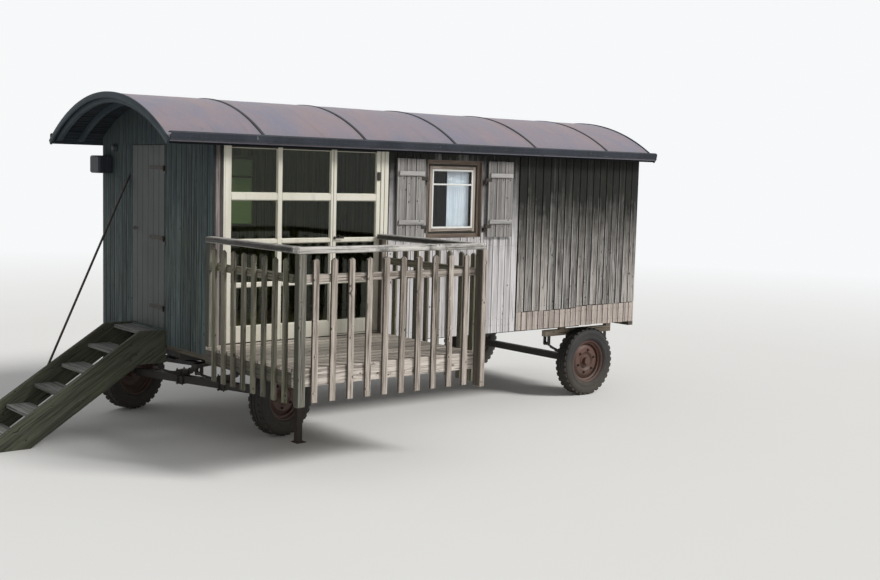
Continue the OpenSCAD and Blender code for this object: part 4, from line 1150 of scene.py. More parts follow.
# nails: two in each board at each level, a little out of line
nailing = {
    "mid": (0.98, 1.9, 2.86), "underWindow": (0.98, 1.9), "besideJoint": (0.98, 1.06, 1.9, 2.86),
    "right": (1.17, 1.95, 2.86), "last": (1.19, 1.95, 2.86), "low": (0.95, 1.07), "lastLow": (0.95, 1.08),
    "inBoard": (0.22, 0.78), "y": 0.0008, "strayX": 0.006, "strayZ": 0.012}
random.seed(4)
nails = []
midPitch, rightPitch, lowPitch = walls["boards"]["pitch"], walls["rightBoards"]["pitch"], walls["lowPitch"]
for x0, x1, pitch, rows in ((midLeft, winX, midPitch, "mid"), (winX, winRight, midPitch, "underWindow"),
                            (winRight, jointX, midPitch, "besideJoint"),
                            (rightX, stepX, rightPitch, "right"), (stepX, lastX, rightPitch, "last"),
                            (rightX, stepX, lowPitch, "low"), (stepX, length, lowPitch, "lastLow")):
    boards = round((x1 - x0) / pitch)
    step = (x1 - x0) / boards
    for board in range(boards):
        for z in nailing[rows]:
            for side in nailing["inBoard"]:
                x = x0 + (board + side) * step + random.uniform(-nailing["strayX"], nailing["strayX"])
                nails.append((x, nailing["y"], z + random.uniform(-nailing["strayZ"], nailing["strayZ"])))
addHeads(nails, "-y")
finishPiece("wall_nails_front", "iron")
print("walls boarded")

roof = {
    "sheet": 0.018,
    "soffit": {"pitch": 0.118, "gap": 0.003, "thick": 0.018, "corner": 0.003},
    "soffitDown": 0.045,
    "seams": (-0.69, 0.52, 1.73, 2.94, 4.15, 5.36),
    "strapWide": 0.034,
    "strapThick": 0.005,
    "dent": 0.0025,
    "endBoard": {"thick": 0.022, "high": 0.06, "over": 0.008},
    "eaveBoard": {"thick": 0.022, "below": 0.002, "above": 0.052},
}
halfAngle = math.asin(roofHalf / roofRadius)
roofLeft, roofRight = -hut["porchOut"], length + hut["backOut"]


def onArch(radius, angle, x):
    return at(x, archY + radius * math.sin(angle), archZ + radius * math.cos(angle))


def addArchBand(section, steps):
    # A closed section of (radius, x) swept over the arch.
    rings, grain = [], []
    for step in range(steps + 1):
        angle = -halfAngle + 2 * halfAngle * step / steps
        rings.append([onArch(r, angle, x) for r, x in section])
        grain.extend([Vector((x, r, angle * roofRadius)) for r, x in section])
    addLoft(rings, grain=grain)


def dentAt(x, angle):
    # Slow swells of the sheet, with small knocks in them.
    knocks = noise.noise(Vector((x * 6.0, angle * 11.0, 4.0)))
    return noise.noise(Vector((x * 1.7, angle * 4.0, 0.0))) + 0.5 * knocks


alongSteps, roundSteps = 150, 72
xs = [roofLeft + (roofRight - roofLeft) * i / alongSteps for i in range(alongSteps + 1)]
rings = []
for step in range(roundSteps + 1):
    angle = -halfAngle + 2 * halfAngle * step / roundSteps
    ring = [onArch(roofRadius - 0.002 + roof["dent"] * dentAt(x, angle), angle, x) for x in xs]
    rings.append(ring + [onArch(roofRadius - roof["sheet"], angle, x) for x in reversed(xs[::10])])
addLoft(rings)
finishPiece("roof_sheet", "roofSheet", ["roof"], smooth=40)

under, top = roofRadius - 0.008, roofRadius + roof["strapThick"]
for seamX in roof["seams"]:
    if roofLeft < seamX < roofRight:
        a, b = seamX - roof["strapWide"] / 2, seamX + roof["strapWide"] / 2
        section = [(under, a), (top - 0.002, a), (top, a + 0.003), (top, b - 0.003), (top - 0.002, b),
                   (under, b)]
        addArchBand(section, 60)
finishPiece("roof_straps", "strap", smooth=40)

underRadius = roofRadius - roof["soffitDown"]
turn = Matrix(((0, 0, 1), (1, 0, 0), (0, 1, 0))).to_4x4()
mesh = growPanel(2 * halfAngle * underRadius, roofRight - roofLeft, roof["soffit"], 61, wrap=underRadius)
addMesh(mesh, Matrix.Translation(at(roofLeft, archY, archZ)) @ turn)
finishPiece("roof_soffit_boards", "soffit")

board = roof["endBoard"]
outer = roofRadius + board["over"]
bottom = outer - board["high"]
for x in (roofLeft - board["thick"], roofRight):
    a, b = x, x + board["thick"]
    section = [(bottom + 0.003, a), (outer - 0.004, a), (outer, a + 0.004), (outer, b - 0.004),
               (outer - 0.004, b), (bottom + 0.003, b), (bottom, b - 0.003), (bottom, a + 0.003)]
    addArchBand(section, 72)
finishPiece("roof_arched_boards", "edgeBlack", ["arched_boards"], smooth=50)

# eave boards with a metal drip over them
drip = newPile()
board = roof["eaveBoard"]
for sign, y in ((-1, -hut["eaveOut"]), (1, width + hut["eaveOut"])):
    near, far = sorted((y, y + sign * board["thick"]))
    addBlock((roofLeft, near, eaveZ - board["below"]), (roofRight, far, eaveZ + board["above"]), "x",
             tone=0.3, steps=24, warp=0.001)
    lip = y + sign * 0.026
    back, inLip = y - sign * 0.03, lip - sign * 0.003
    profile = [(back, 0.0735), (y, 0.08), (lip, 0.068), (lip, 0.028), (inLip, 0.028), (inLip, 0.062),
               (y, 0.07), (back, 0.064)]
    addLoft([[at(x, py, eaveZ + up) for py, up in profile] for x in (roofLeft, roofRight)], into=drip)
finishPiece("roof_eave_boards", "eaveBlue", ["eave_boards"])
finishPiece("roof_eave_drips", "eaveBlue", source=drip)
paintNode("roof_bows", "edgeBlack")
print("roof laid")

bay = {
    "face": 0.015,
    "thick": 0.045,
    "glassY": 0.04,
    "z0": 1.015,
    "rowTop": 2.902,
    "rowTransom": 2.468,
    "transom": 0.068,
    "bar": 0.04,
    "rowLow": 1.171,
    "columns": ((0.205, 0.72), (0.772, 1.348)),
    "posts": ((0.135, 0.205), (0.72, 0.772), (1.348, 1.375), (1.975, 2.02)),
    "opening": (1.375, 1.975),
    "threshold": 0.01,
    "headRoom": 0.02,
    "cut": 0.004,
    "bead": 0.007,
    "beadIn": 0.014,
}
rowHigh = (bay["rowTransom"] - bay["transom"] - bay["rowLow"] - 2 * bay["bar"]) / 3
paneRows = [(bay["rowLow"] + i * (rowHigh + bay["bar"]),
             bay["rowLow"] + i * (rowHigh + bay["bar"]) + rowHigh) for i in range(3)]
paneRows.append((bay["rowTransom"], bay["rowTop"]))


def addSashBars(x0, x1, y0, y1, seed):
    # The level bars between the panes of one column.
    for number, (below, above) in enumerate(zip(paneRows[:-1], paneRows[1:])):
        addBlock((x0, y0, below[1]), (x1, y1, above[0]), "x", cut=0.004, tone=0.2 + 0.1 * number + seed)


def addBeads(x0, x1, z0, z1, yFace, yGlass, size):
    # Putty round one pane: a wedge from the frame down to the glass.
    spots = ((x0, z0), (x1, z0), (x1, z1), (x0, z1))
    inner = ((x0 + size, z0 + size), (x1 - size, z0 + size), (x1 - size, z1 - size), (x0 + size, z1 - size))
    rings = []
    for (ox, oz), (ix, iz) in zip(spots, inner):
        rings.append([at(ox, yFace, oz), at(ox, yGlass, oz), at(ix, yGlass, iz),
                      at((ox * 3 + ix) / 4, yFace, (oz * 3 + iz) / 4)])
    addLoft(rings, loop=True, tone=0.6)


y0, y1 = bay["face"], bay["face"] + bay["thick"]
for number, (x0, x1) in enumerate(bay["posts"]):
    addBlock((x0, y0, bay["z0"]), (x1, y1, eaveZ), "z", cut=bay["cut"], tone=0.15 + 0.2 * number)
for number, (x0, x1) in enumerate(bay["columns"]):
    addBlock((x0, y0, bay["z0"]), (x1, y1, bay["rowLow"]), "x", cut=bay["cut"], tone=0.4 + 0.2 * number)
    addSashBars(x0, x1, y0, y1, 0.05 * number)
    for z0, z1 in paneRows:
        addBeads(x0, x1, z0, z1, y0 + bay["beadIn"], bay["glassY"] - 0.0005, bay["bead"])
openLeft, openRight = bay["opening"]
addBlock((openLeft, y0, bay["z0"]), (openRight, y1, bay["z0"] + bay["threshold"]), "x", cut=0.002, tone=0.7)
finishPiece("bay_frame_members", "cream", ["bay_frame"])
# the head rails in near-black timber, which is painted shade under the eaves
for number, (x0, x1) in enumerate(bay["columns"]):
    addBlock((x0, y0, bay["rowTop"]), (x1, y1, eaveZ), "x", cut=bay["cut"], tone=0.5 + 0.2 * number)
addBlock((openLeft, y0, bay["rowTop"] + bay["headRoom"]), (openRight, y1, eaveZ), "x", cut=bay["cut"],
         tone=0.9)
finishPiece("bay_head_rails", "paintedShadeTimber")

# the deck door's leaf, hung on its packed hinges
door = {"x0": 1.383, "x1": 1.969, "z0": 1.031, "z1": 2.916, "stiles": (0.037, 0.049), "y0": 0.02,
        "thick": 0.04, "beadIn": 0.01, "bead": 0.006, "glassY": 0.0365, "hinges": (1.253, 1.973, 2.723),
        "pin": (1.972, 0.0683), "leafFrom": 1.932, "leafY": (0.06, 0.063),
        "knuckle": {"bore": 0.0031, "outer": 0.008, "high": 0.022, "steps": 24}, "lockX": 1.4015,
        "lockZ": 2.02,
        "knob": {"rose": 0.016, "roseThick": 0.004, "neck": 0.006, "neckFrom": 0.006, "long": 0.03,
                 "steps": 24}, "lever": (1.397, 1.5), "leverY": (-0.012, -0.002), "leverHalf": 0.006,
        "catch": ((1.925, 0.004, 2.612), (1.965, 0.0195, 2.7))}
x0, x1 = door["x0"], door["x1"]
y0, y1 = door["y0"], door["y0"] + door["thick"]
ix0, ix1 = x0 + door["stiles"][0], x1 - door["stiles"][1]
for number, (a, b) in enumerate(((x0, ix0), (ix1, x1))):
    addBlock((a, y0, door["z0"]), (b, y1, door["z1"]), "z", tone=0.2 + 0.5 * number)
addBlock((ix0, y0, door["z0"]), (ix1, y1, bay["rowLow"]), "x", tone=0.45)
addSashBars(ix0, ix1, y0, y1, 0.3)
for z0, z1 in paneRows:
    addBeads(ix0, ix1, z0, z1, y0 + door["beadIn"], door["glassY"], door["bead"])
finishPiece("deck_door_leaf", "cream", ["deck_door"], "deck_door")
# the door's head rail in the same near-black timber, painted shade under the eaves
addBlock((ix0, y0, bay["rowTop"]), (ix1, y1, door["z1"]), "x", cut=0.002, tone=0.55)
finishPiece("deck_door_head", "paintedShadeTimber", body="deck_door")
pinX, pinY = door["pin"]
for z in door["hinges"]:
    addBlock((door["leafFrom"], door["leafY"][0], z), (pinX, door["leafY"][1], z + door["knuckle"]["high"]),
             "x", cut=0.0006)
    addSleeve(aimed(pinX, pinY, z), **door["knuckle"])
lockZ = door["lockZ"]
addKnob(aimed(door["lockX"], y0, lockZ, 1), **door["knob"])
addBlock((door["lever"][0], door["leverY"][0], lockZ - door["leverHalf"]),
         (door["lever"][1], door["leverY"][1], lockZ + door["leverHalf"]), "x")
addBlock(*door["catch"], "z", cut=0.004)
finishPiece("deck_door_ironwork", "iron", body="deck_door", smooth=40)

for node in ("window_glass", "deck_door_glass"):
    paintNode(node, "paneGlass")
paintNode("hinge_pins", "iron")


def addRing(window, outer, inner, y0, y1, cut=0.003):
    # Four rails round a window's opening, from outer to inner in from its edges.
    x, z, wide, high = window
    for number, (a, b) in enumerate(((x + outer, x + inner), (x + wide - inner, x + wide - outer))):
        addBlock((a, y0, z + outer), (b, y1, z + high - outer), "z", cut=cut, tone=0.4 + 0.4 * number)
    for number, (a, b) in enumerate(((z + outer, z + inner), (z + high - inner, z + high - outer))):
        addBlock((x + inner, y0, a), (x + wide - inner, y1, b), "x", cut=cut, tone=0.3 + 0.3 * number)


casement = {"frame": 0.045, "rebate": 0.066, "stop": 0.1, "leaf": 0.122, "barZ": 2.575, "bar": 0.018,
            "frameY": (0.035, 0.08), "backY": 0.0545, "rebateY": 0.05, "stopY": 0.044, "leafY": 0.041,
            "barY": 0.043, "farBar": (2.59, 2.615), "farBarY": (0.072, 0.0615),
            "rod": {"radius": 0.006, "long": 0.85, "over": 0.03, "y": 0.11, "z": 2.825, "ease": 0.0002},
            "hook": {"wide": 0.012, "y": 0.09, "half": 0.008, "right": 0.018},
            "reveal": {"thick": 0.012, "top": 0.008, "depth": 0.0345}}
window, backY = walls["window"], casement["backY"]
addRing(window, 0.0, casement["frame"], *casement["frameY"])
finishPiece("window_frame_front", "windowJamb", ["window_frames"])
# the rebate in near-black timber, which is painted shade
addRing(window, casement["frame"], casement["rebate"], casement["rebateY"], backY, 0.001)
finishPiece("window_rebate", "paintedShadeTimber")
addRing(window, casement["rebate"] + 0.001, casement["stop"], casement["stopY"], backY)
finishPiece("window_stop", "windowStop")
frame0, frame1 = casement["frameY"]
addRing(walls["backWindow"], 0.0, casement["frame"], width - frame1, width - frame0)
barLow, barHigh = casement["farBar"]
backX, _, backWide, _ = walls["backWindow"]
addBlock((backX + casement["frame"], width - casement["farBarY"][0], barLow),
         (backX + backWide - casement["frame"], width - casement["farBarY"][1], barHigh), "x")
finishPiece("window_frame_back", "lining", ["window_frames"])
addRing(window, casement["stop"] + 0.001, casement["leaf"], casement["leafY"], backY)
addBlock((winX + casement["leaf"], casement["barY"], casement["barZ"]),
         (winRight - casement["leaf"], backY, casement["barZ"] + casement["bar"]), "x", tone=0.7)
rod, hook = casement["rod"], casement["hook"]
round0, round1 = rod["radius"] - rod["ease"], rod["radius"]
profile = [(0.0, 0.0), (round0, 0.0), (round1, rod["ease"]), (round1, rod["long"] - rod["ease"]),
           (round0, rod["long"]), (0.0, rod["long"])]
addTurned(profile, aimed(winX - rod["over"], rod["y"], rod["z"], 1, "Y"), 24)
for x in (winX - rod["over"], winRight + hook["right"]):
    addBlock((x, hook["y"], rod["z"] - hook["half"]), (x + hook["wide"], rod["y"], rod["z"] + hook["half"]),
             "y", cut=0.002)
finishPiece("window_casement", "white", ["window_frames"], smooth=30)

# brown reveals of the front window, and its sill
reveal = casement["reveal"]
sillTop, headLow, revealY = winZ + reveal["thick"], winTop - reveal["top"], reveal["depth"]
addBlock((winX + 0.001, 0.0, winZ - 0.0005), (winRight - 0.001, revealY, sillTop), "x")
addBlock((winX + 0.001, 0.001, headLow), (winRight - 0.001, revealY, winTop), "x", cut=0.002, tone=0.7)
for x in (winX, winRight - reveal["thick"]):
    addBlock((x, 0.001, sillTop), (x + reveal["thick"], revealY, headLow), "z", cut=0.002, tone=0.4)
finishPiece("window_reveals", "windowJamb")

# curtains: cloth cut flat, gathered on the rod
curtain = {"top": 2.812, "drop": 0.742, "depth": 0.0115, "thick": 0.0008, "columns": 120, "rows": 40,
           "sway": 0.1, "left": {"x0": 2.6, "x1": 2.75, "flatWide": 0.295, "folds": 7, "seed": 1.0},
           "right": {"x0": 2.95, "x1": 3.262, "flatWide": 0.51, "folds": 11, "seed": 5.0}}


def addCurtain(name, x0, x1, flatWide, folds, seed):
    columns, rows, drop = curtain["columns"], curtain["rows"], curtain["drop"]
    shown = x1 - x0
    points, faces, cut = [], [], []
    for row in range(rows + 1):
        v = row / rows
        for column in range(columns + 1):
            u = column / columns
            phase = 2 * math.pi * folds * u + 0.7 * noise.noise(Vector((u * 4.0, v * 1.2, seed)))
            swell = 0.75 + 0.25 * noise.noise(Vector((u * 9.0, v * 2.0, seed + 3.0)))
            x = x0 + shown * u + curtain["sway"] * shown / folds * math.sin(2 * phase)
            y = rod["y"] + curtain["depth"] * math.sin(phase) * swell
            points.append(tuple(at(min(max(x, x0), x1), y, curtain["top"] - drop * v)))
            cut.append((flatWide * u, drop * v))
    for row in range(rows):
        for column in range(columns):
            a = row * (columns + 1) + column
            faces.append((a, a + 1, a + columns + 2, a + columns + 1))
    mesh = bpy.data.meshes.new(name)
    mesh.from_pydata(points, [], faces)
    layer = mesh.uv_layers.new(name="cut")
    for loop in mesh.loops:
        layer.data[loop.index].uv = cut[loop.vertex_index]
    mesh.materials.append(materials["curtainCloth"])
    mesh.shade_smooth()
    piece = addObject(name, mesh)
    shell = piece.modifiers.new("shell", "SOLIDIFY")
    shell.thickness = curtain["thick"]
    shell.offset = 0.0
    dress(piece, "hut", ["window_curtains"])


for side in ("left", "right"):
    addCurtain("curtain_" + side, **curtain[side])

# entrance: frame, boarded leaf with straps, sill
entrance = {"jamb": 0.04, "depth": 0.09, "foot": 1.01, "sill": (1.0, 1.05), "leafIn": (0.046, 0.048),
            "leafZ": (1.058, 2.914), "leafThick": 0.024, "leafPitch": 0.12, "ledges": (1.2, 1.98, 2.7),
            "ledge": {"y": (0.0245, 0.04), "in": 0.02, "high": 0.1}, "hinges": (1.25, 1.96, 2.67),
            "pin": (-0.016, 1.003), "strap": {"x": (-0.006, -0.0002), "long": 0.33},
            "knuckle": {"bore": 0.0061, "outer": 0.013, "high": 0.036}, "knobAt": (0.0, 1.69, 2.05),
            "knob": {"rose": 0.022, "roseThick": 0.003, "neck": 0.009, "neckFrom": 0.006, "long": 0.022,
                     "steps": 28}, "lever": ((-0.03, 1.59, 2.044), (-0.02, 1.7, 2.056))}
knuckleHigh = entrance["knuckle"]["high"]
jamb, depth = entrance["jamb"], entrance["depth"]
for number, y in enumerate((entryNear, entryFar - jamb)):
    addBlock((0, y, entrance["foot"]), (depth, y + jamb, entryTop), "z", tone=0.2 + 0.5 * number)
sillLow, sillHigh = entrance["sill"]
addBlock((0, entryNear + jamb, sillLow), (depth, entryFar - jamb, sillHigh), "y", cut=0.004)
finishPiece("entrance_frame", "endBoards", ["door_frame"])
leafNear, leafFar = entryNear + entrance["leafIn"][0], entryFar - entrance["leafIn"][1]
leafLow, leafHigh = entrance["leafZ"]
leafBoards = dict(walls["boards"], depth=0.0, bow=0.0)
addPanel("-x", (0, leafFar, leafLow), leafFar - leafNear, leafHigh - leafLow, leafBoards, 71,
         thick=entrance["leafThick"], pitch=entrance["leafPitch"])
ledge = entrance["ledge"]
for z in entrance["ledges"]:
    addBlock((ledge["y"][0], leafNear + ledge["in"], z),
             (ledge["y"][1], leafFar - ledge["in"], z + ledge["high"]), "y", cut=0.004, tone=0.4)
finishPiece("entrance_leaf", "doorDark", ["entrance_door"], "entrance_door")
pinX, pinY = entrance["pin"]
strapX = entrance["strap"]["x"]
for z in entrance["hinges"]:
    addSleeve(aimed(pinX, pinY, z), **entrance["knuckle"])
    addBlock((strapX[0], pinY, z), (strapX[1], pinY + entrance["strap"]["long"], z + knuckleHigh), "y",
             cut=0.001)
addKnob(aimed(*entrance["knobAt"], -1, "Y"), **entrance["knob"])
addBlock(*entrance["lever"], "y")
finishPiece("entrance_ironwork", "iron", body="entrance_door", smooth=40)

# shutters: boards, ledges and straps, drawn at their open places
shutter = {"wide": 0.383, "high": 0.846, "z": 2.005, "thick": 0.024, "face": -0.036, "pitch": 0.128,
           "fromPin": 0.03, "ledges": (0.17, 0.69), "ledge": {"in": 0.02, "half": 0.025, "face": -0.056},
           "straps": (0.1, 0.62), "strap": {"long": 0.08, "face": -0.041, "back": -0.0355},
           "bolts": (0.14, 0.24, 0.34), "boltFace": -0.0565, "hinges": {"left": 2.561, "right": 3.405},
           "pinY": -0.024, "seeds": {"left": 81, "right": 83}}
z0, ledge, strap = shutter["z"], shutter["ledge"], shutter["strap"]
for side, sign in (("left", -1), ("right", 1)):
    hingeX, body = shutter["hinges"][side], "shutter_" + side
    near, far = sorted(hingeX + sign * (shutter["fromPin"] + wide) for wide in (0.0, shutter["wide"]))
    addPanel("-y", (near, shutter["face"], z0), shutter["wide"], shutter["high"], leafBoards,
             shutter["seeds"][side], thick=shutter["thick"], pitch=shutter["pitch"], ends=0.003)
    finishPiece(body + "_leaf", "shutterBoards", [body], body)
    for z in shutter["ledges"]:
        addBlock((near + ledge["in"], ledge["face"], z0 + z - ledge["half"]),
                 (far - ledge["in"], strap["back"], z0 + z + ledge["half"]), "x", cut=0.005,
                 tone=0.3 + 0.5 * z)
    finishPiece(body + "_ledges", "ledges", body=body)
    for z in shutter["straps"]:
        addSleeve(aimed(hingeX, shutter["pinY"], z0 + z), **entrance["knuckle"])
        a, b = sorted((hingeX, hingeX + sign * strap["long"]))
        addBlock((a, strap["face"], z0 + z), (b, strap["back"], z0 + z + knuckleHigh), "x", cut=0.001)
        boltZ = z0 + z + knuckleHigh / 2
        heads = [(hingeX + sign * d, shutter["boltFace"], boltZ) for d in shutter["bolts"]]
        addHeads(heads, "-y", 0.007, 0.004)
    finishPiece(body + "_ironwork", "iron", body=body, smooth=40)
print("windows and doors hung")

# porch lamp and box
porch = {
    "lampAt": (0.0, 2.153, 2.885),
    "lamp": [(0.0, 0.0), (0.0425, 0.0), (0.0425, 0.014), (0.037, 0.018), (0.036, 0.034), (0.028, 0.043),
             (0.014, 0.045), (0.0, 0.045)],
    "box": ((-0.15, 2.24, 2.61), (-0.001, 2.48, 2.8)),
    "lid": ((-0.158, 2.252, 2.622), (-0.149, 2.468, 2.788)),
}
addTurned(porch["lamp"], aimed(*porch["lampAt"], -1, "Y"), 40)
addBlock(*porch["box"], "z", cut=0.01)
addBlock(*porch["lid"], "z")
finishPiece("porch_fittings_refined", "fitting", ["porch_fittings"], smooth=35)
print("porch fitted")

deck = {
    "x": -0.07, "length": 2.08, "depth": 1.52, "nailPitch": 0.1382, "nailRows": 11,
    "boards": {"pitch": 0.138, "gap": 0.006, "thick": 0.028, "corner": 0.003, "depth": 0.0015, "bow": 0.002},
    "joists": (-0.04, 0.633, 1.307, 1.98), "fasciaHigh": 0.16, "fasciaThick": 0.028, "postWide": 0.07,
    "leftPost": 0.08, "rightPost": (0.06, 0.11), "wallPost": 0.06, "wallGap": 0.002, "postFoot": 0.02,
    "railHigh": 1.046, "railThick": 0.055, "railWide": 0.1, "midRail": (0.806, 0.07, 0.045),
    "picketWide": 0.06, "picketThick": 0.026, "picketDown": 0.1, "picketBelow": 0.141,
    "frontPickets": 10, "sidePickets": 8, "stray": 0.006, "railOver": 0.01,
    "bearer": ((0.664, -0.206, 0.8505), (1.276, -0.134, 0.932)),
}
deckX, deckLong, deckDeep, deckZ = deck["x"], deck["length"], deck["depth"], hut["deckZ"]
addPanel("+z", (deckX, -0.0005, deckZ), deckDeep - 0.0005, deckLong, deck["boards"], 91)
finishPiece("deck_planks", "deckBoards", ["deck_boards"])
nails = []
for board in range(deck["nailRows"]):
    for joistX in deck["joists"]:
        for side in (0.25, 0.75):
            nails.append((joistX + random.uniform(-0.004, 0.004), -(board + side) * deck["nailPitch"],
                          deckZ - 0.0003))
addHeads(nails, "+z")
finishPiece("deck_nails", "iron")

frontFace = -deckDeep - deck["fasciaThick"]
rightEnd = deckX + deckLong
addBlock((deckX, frontFace, deckZ - deck["fasciaHigh"]), (rightEnd, -deckDeep - 0.0005, deckZ - 0.001), "x",
         cut=0.004, tone=0.35, steps=10, warp=0.001)
finishPiece("deck_fascia_board", "fasciaBoards", ["deck_fascia"])

picketTop = deckZ + deck["railHigh"] - deck["picketDown"]
picketBottom = deckZ - deck["fasciaHigh"] - deck["picketBelow"]
postTop = deckZ + deck["railHigh"] - deck["railThick"]
postBottom = picketBottom - deck["postFoot"]
postY = frontFace - deck["postWide"]
postWide, postDeep = deck["rightPost"]
wallPost, wallGap = deck["wallPost"], deck["wallGap"]
wallPostY = -wallGap - wallPost
addBlock((rightEnd - postWide, frontFace - postDeep, postBottom), (rightEnd, frontFace, postTop), "z",
         cut=0.006, tone=0.75, steps=8)
addBlock((rightEnd - wallPost, wallPostY, deckZ), (rightEnd, -wallGap, postTop), "z", cut=0.004, tone=0.7)
finishPiece("deck_post_timbers", "pickets", ["deck_posts"])
addBlock((deckX, postY, postBottom), (deckX + deck["leftPost"], frontFace, postTop), "z", cut=0.006,
         tone=0.25, steps=8)
addBlock((deckX, wallPostY, deckZ), (deckX + wallPost, -wallGap, postTop), "z", cut=0.004, tone=0.4)
finishPiece("deck_post_timbers_left", "leftPost")


def picketMesh(wide, thick, high):
    # One pointed picket, face towards -Y, foot at the origin, edges eased.
    half, cut, point = wide / 2, 0.003, 0.02
    outline = [(-half, 0.0), (half, 0.0), (half, high - point), (0.0, high), (-half, high - point)]
    eased = [(-half + cut, cut), (half - cut, cut), (half - cut, high - point - cut * 0.5),
             (0.0, high - cut * 1.3), (-half + cut, high - point - cut * 0.5)]
    rings = [[Vector((x, y, z)) for x, z in shape]
             for y, shape in ((0.0, eased), (-cut, outline), (cut - thick, outline), (-thick, eased))]
    picket = newPile()
    addLoft(rings, into=picket)
    return meshOfPile("picket", picket)


def picketRow(count, pitch, seed):
    picket = picketMesh(deck["picketWide"], deck["picketThick"], picketTop - picketBottom)
    return grow(repeatRow, {"Count": count, "Step": (pitch, 0.0, 0.0), "Lean": deck["stray"],
                            "Sink": deck["stray"], "Seed": seed}, picket)


frontRun = deckLong - 0.14
frontPitch = frontRun / (deck["frontPickets"] + 0.3)
midTop, midHigh, midThick = deck["midRail"]
railTopZ = deckZ + midTop
leftPost = deck["leftPost"]
addBlock((deckX + leftPost + 0.001, frontFace, railTopZ - midHigh),
         (deckX + leftPost - 0.001 + frontRun, frontFace + midThick, railTopZ), "x", cut=0.005, tone=0.4,
         steps=6)
row = picketRow(deck["frontPickets"], frontPitch, 5)
addMesh(row, Matrix.Translation(at(deckX + leftPost + 0.65 * frontPitch, frontFace, picketBottom)))
finishPiece("railing_front_pickets", "pickets", ["railing_front"])

sideRun = deckDeep - 0.07
sidePitch = sideRun / (deck["sidePickets"] + 0.2)
for side, sign, x, steps in (("left", -1, deckX, 0.75), ("right", 1, rightEnd, deck["sidePickets"] - 0.25)):
    railNear, railFar = sorted((x, x - sign * midThick))
    addBlock((railNear, wallPostY - 0.002 - sideRun, railTopZ - midHigh),
             (railFar, wallPostY - 0.002, railTopZ), "y", cut=0.005, tone=0.6, steps=6)
    row = picketRow(deck["sidePickets"], sidePitch, 8 + sign)
    turn = Matrix.Rotation(math.radians(90 * sign), 4, "Z")
    addMesh(row, Matrix.Translation(at(x, wallPostY - steps * sidePitch, picketBottom)) @ turn)
    finishPiece("railing_side_pickets_" + side, "sidePickets", ["railing_sides"])

over = deck["railOver"]
railTop = postTop + deck["railThick"]
frontY = postY - over
railWide = deck["railWide"]
addBlock((deckX - over, frontY, postTop), (rightEnd + over, frontY + railWide, railTop), "x", cut=0.008,
         tone=0.5, steps=16, warp=0.002)
finishPiece("handrail_front", "rails", ["handrails"])
for number, x in enumerate((deckX - over, rightEnd + over - railWide)):
    addBlock((x, frontY + railWide + 0.002, postTop), (x + railWide, -0.001, railTop), "y", cut=0.008,
             tone=0.3 + 0.5 * number, steps=12, warp=0.002, seed=4.0 + number)
finishPiece("handrail_sides", "sideRails", ["handrails"])
paintNode("deck_joists", "joists")
addBlock(*deck["bearer"], "x", tone=0.4)
finishPiece("deck_prop_bearer", "joists")
paintNode("deck_prop", "prop")
print("deck built")

stair = {
    "y": 0.9975, "wide": 0.755, "rise": 0.185, "run": 0.285, "treads": 5, "landing": 1.03, "deep": 0.28,
    "plank": 0.045, "level": -0.29, "top": 1.05, "wallGap": 0.002, "treadThick": 0.038, "treadDeep": 0.24,
    "landingDeep": 0.203, "firstX": -0.205, "bolt": {"radius": 0.008, "depth": 0.006, "sides": 10}}
slope = stair["rise"] / stair["run"]
pitchAngle = math.atan(slope)
footX = stair["level"] - stair["top"] / slope
lowEdge = stair["top"] - stair["deep"] / math.cos(pitchAngle)
footIn = stair["level"] - lowEdge / slope


def addPlank(outline, y0, y1, cut, tone):
    # A plank cut to an outline in X and Z, its edges eased; the grain follows the slope.
    work = bmesh.new()
    ring = [work.verts.new(at(x, y0, z)) for x, z in outline]
    face = work.faces.new(ring)
    made = bmesh.ops.extrude_face_region(work, geom=[face])
    for item in made["geom"]:
        if isinstance(item, bmesh.types.BMVert):
            item.co.y += y1 - y0
    bmesh.ops.recalc_face_normals(work, faces=work.faces)
    bmesh.ops.bevel(work, geom=work.edges[:], offset=cut, segments=1, affect="EDGES")
    mesh = bpy.data.meshes.new("plank")
    work.to_mesh(mesh)
    work.free()
    way = Vector((math.cos(pitchAngle), 0.0, math.sin(pitchAngle)))
    rise = Vector((-way.z, 0.0, way.x))
    points = [vertex.co.copy() for vertex in mesh.vertices]
    grain = [Vector((point.dot(rise), point.y, point.dot(way))) + grainShift(tone) for point in points]
    addPoints(points, [list(polygon.vertices) for polygon in mesh.polygons], grain, tone)
    bpy.data.meshes.remove(mesh)


outline = [(footX, 0.0), (footIn, 0.0), (stair["level"], lowEdge), (-stair["wallGap"], lowEdge),
           (-stair["wallGap"], stair["top"]), (stair["level"], stair["top"])]
stairNear, stairFar = stair["y"], stair["y"] + stair["wide"]
for number, y in enumerate((stairNear, stairFar + stair["plank"])):
    addPlank(outline, y - stair["plank"], y, 0.005, 0.3 + 0.4 * number)
finishPiece("stair_stringer_planks", "stair", ["stair_stringers"])
bolts = []
for number in range(stair["treads"] + 1):
    x = stair["firstX"] - number * stair["run"]
    z = stair["landing"] - number * stair["rise"]
    deep = stair["treadDeep"] if number else stair["landingDeep"]
    addBlock((x, stairNear + 0.001, z - stair["treadThick"]), (x + deep, stairFar - 0.001, z), "y",
             cut=0.005, tone=(number * 0.37) % 1.0, steps=4)
    bolts.append((x + stair["treadDeep"] / 2, z - stair["treadThick"] / 2))
finishPiece("stair_tread_planks", "treads", ["stair_treads"])
for side, y in (("-y", stairNear - stair["plank"] - 0.001), ("+y", stairFar + stair["plank"] + 0.001)):
    addHeads([(x, y, z) for x, z in bolts], side, **stair["bolt"])
finishPiece("stair_bolts", "iron")
paintNode("stair_hand_rod", "iron")
print("stair set")

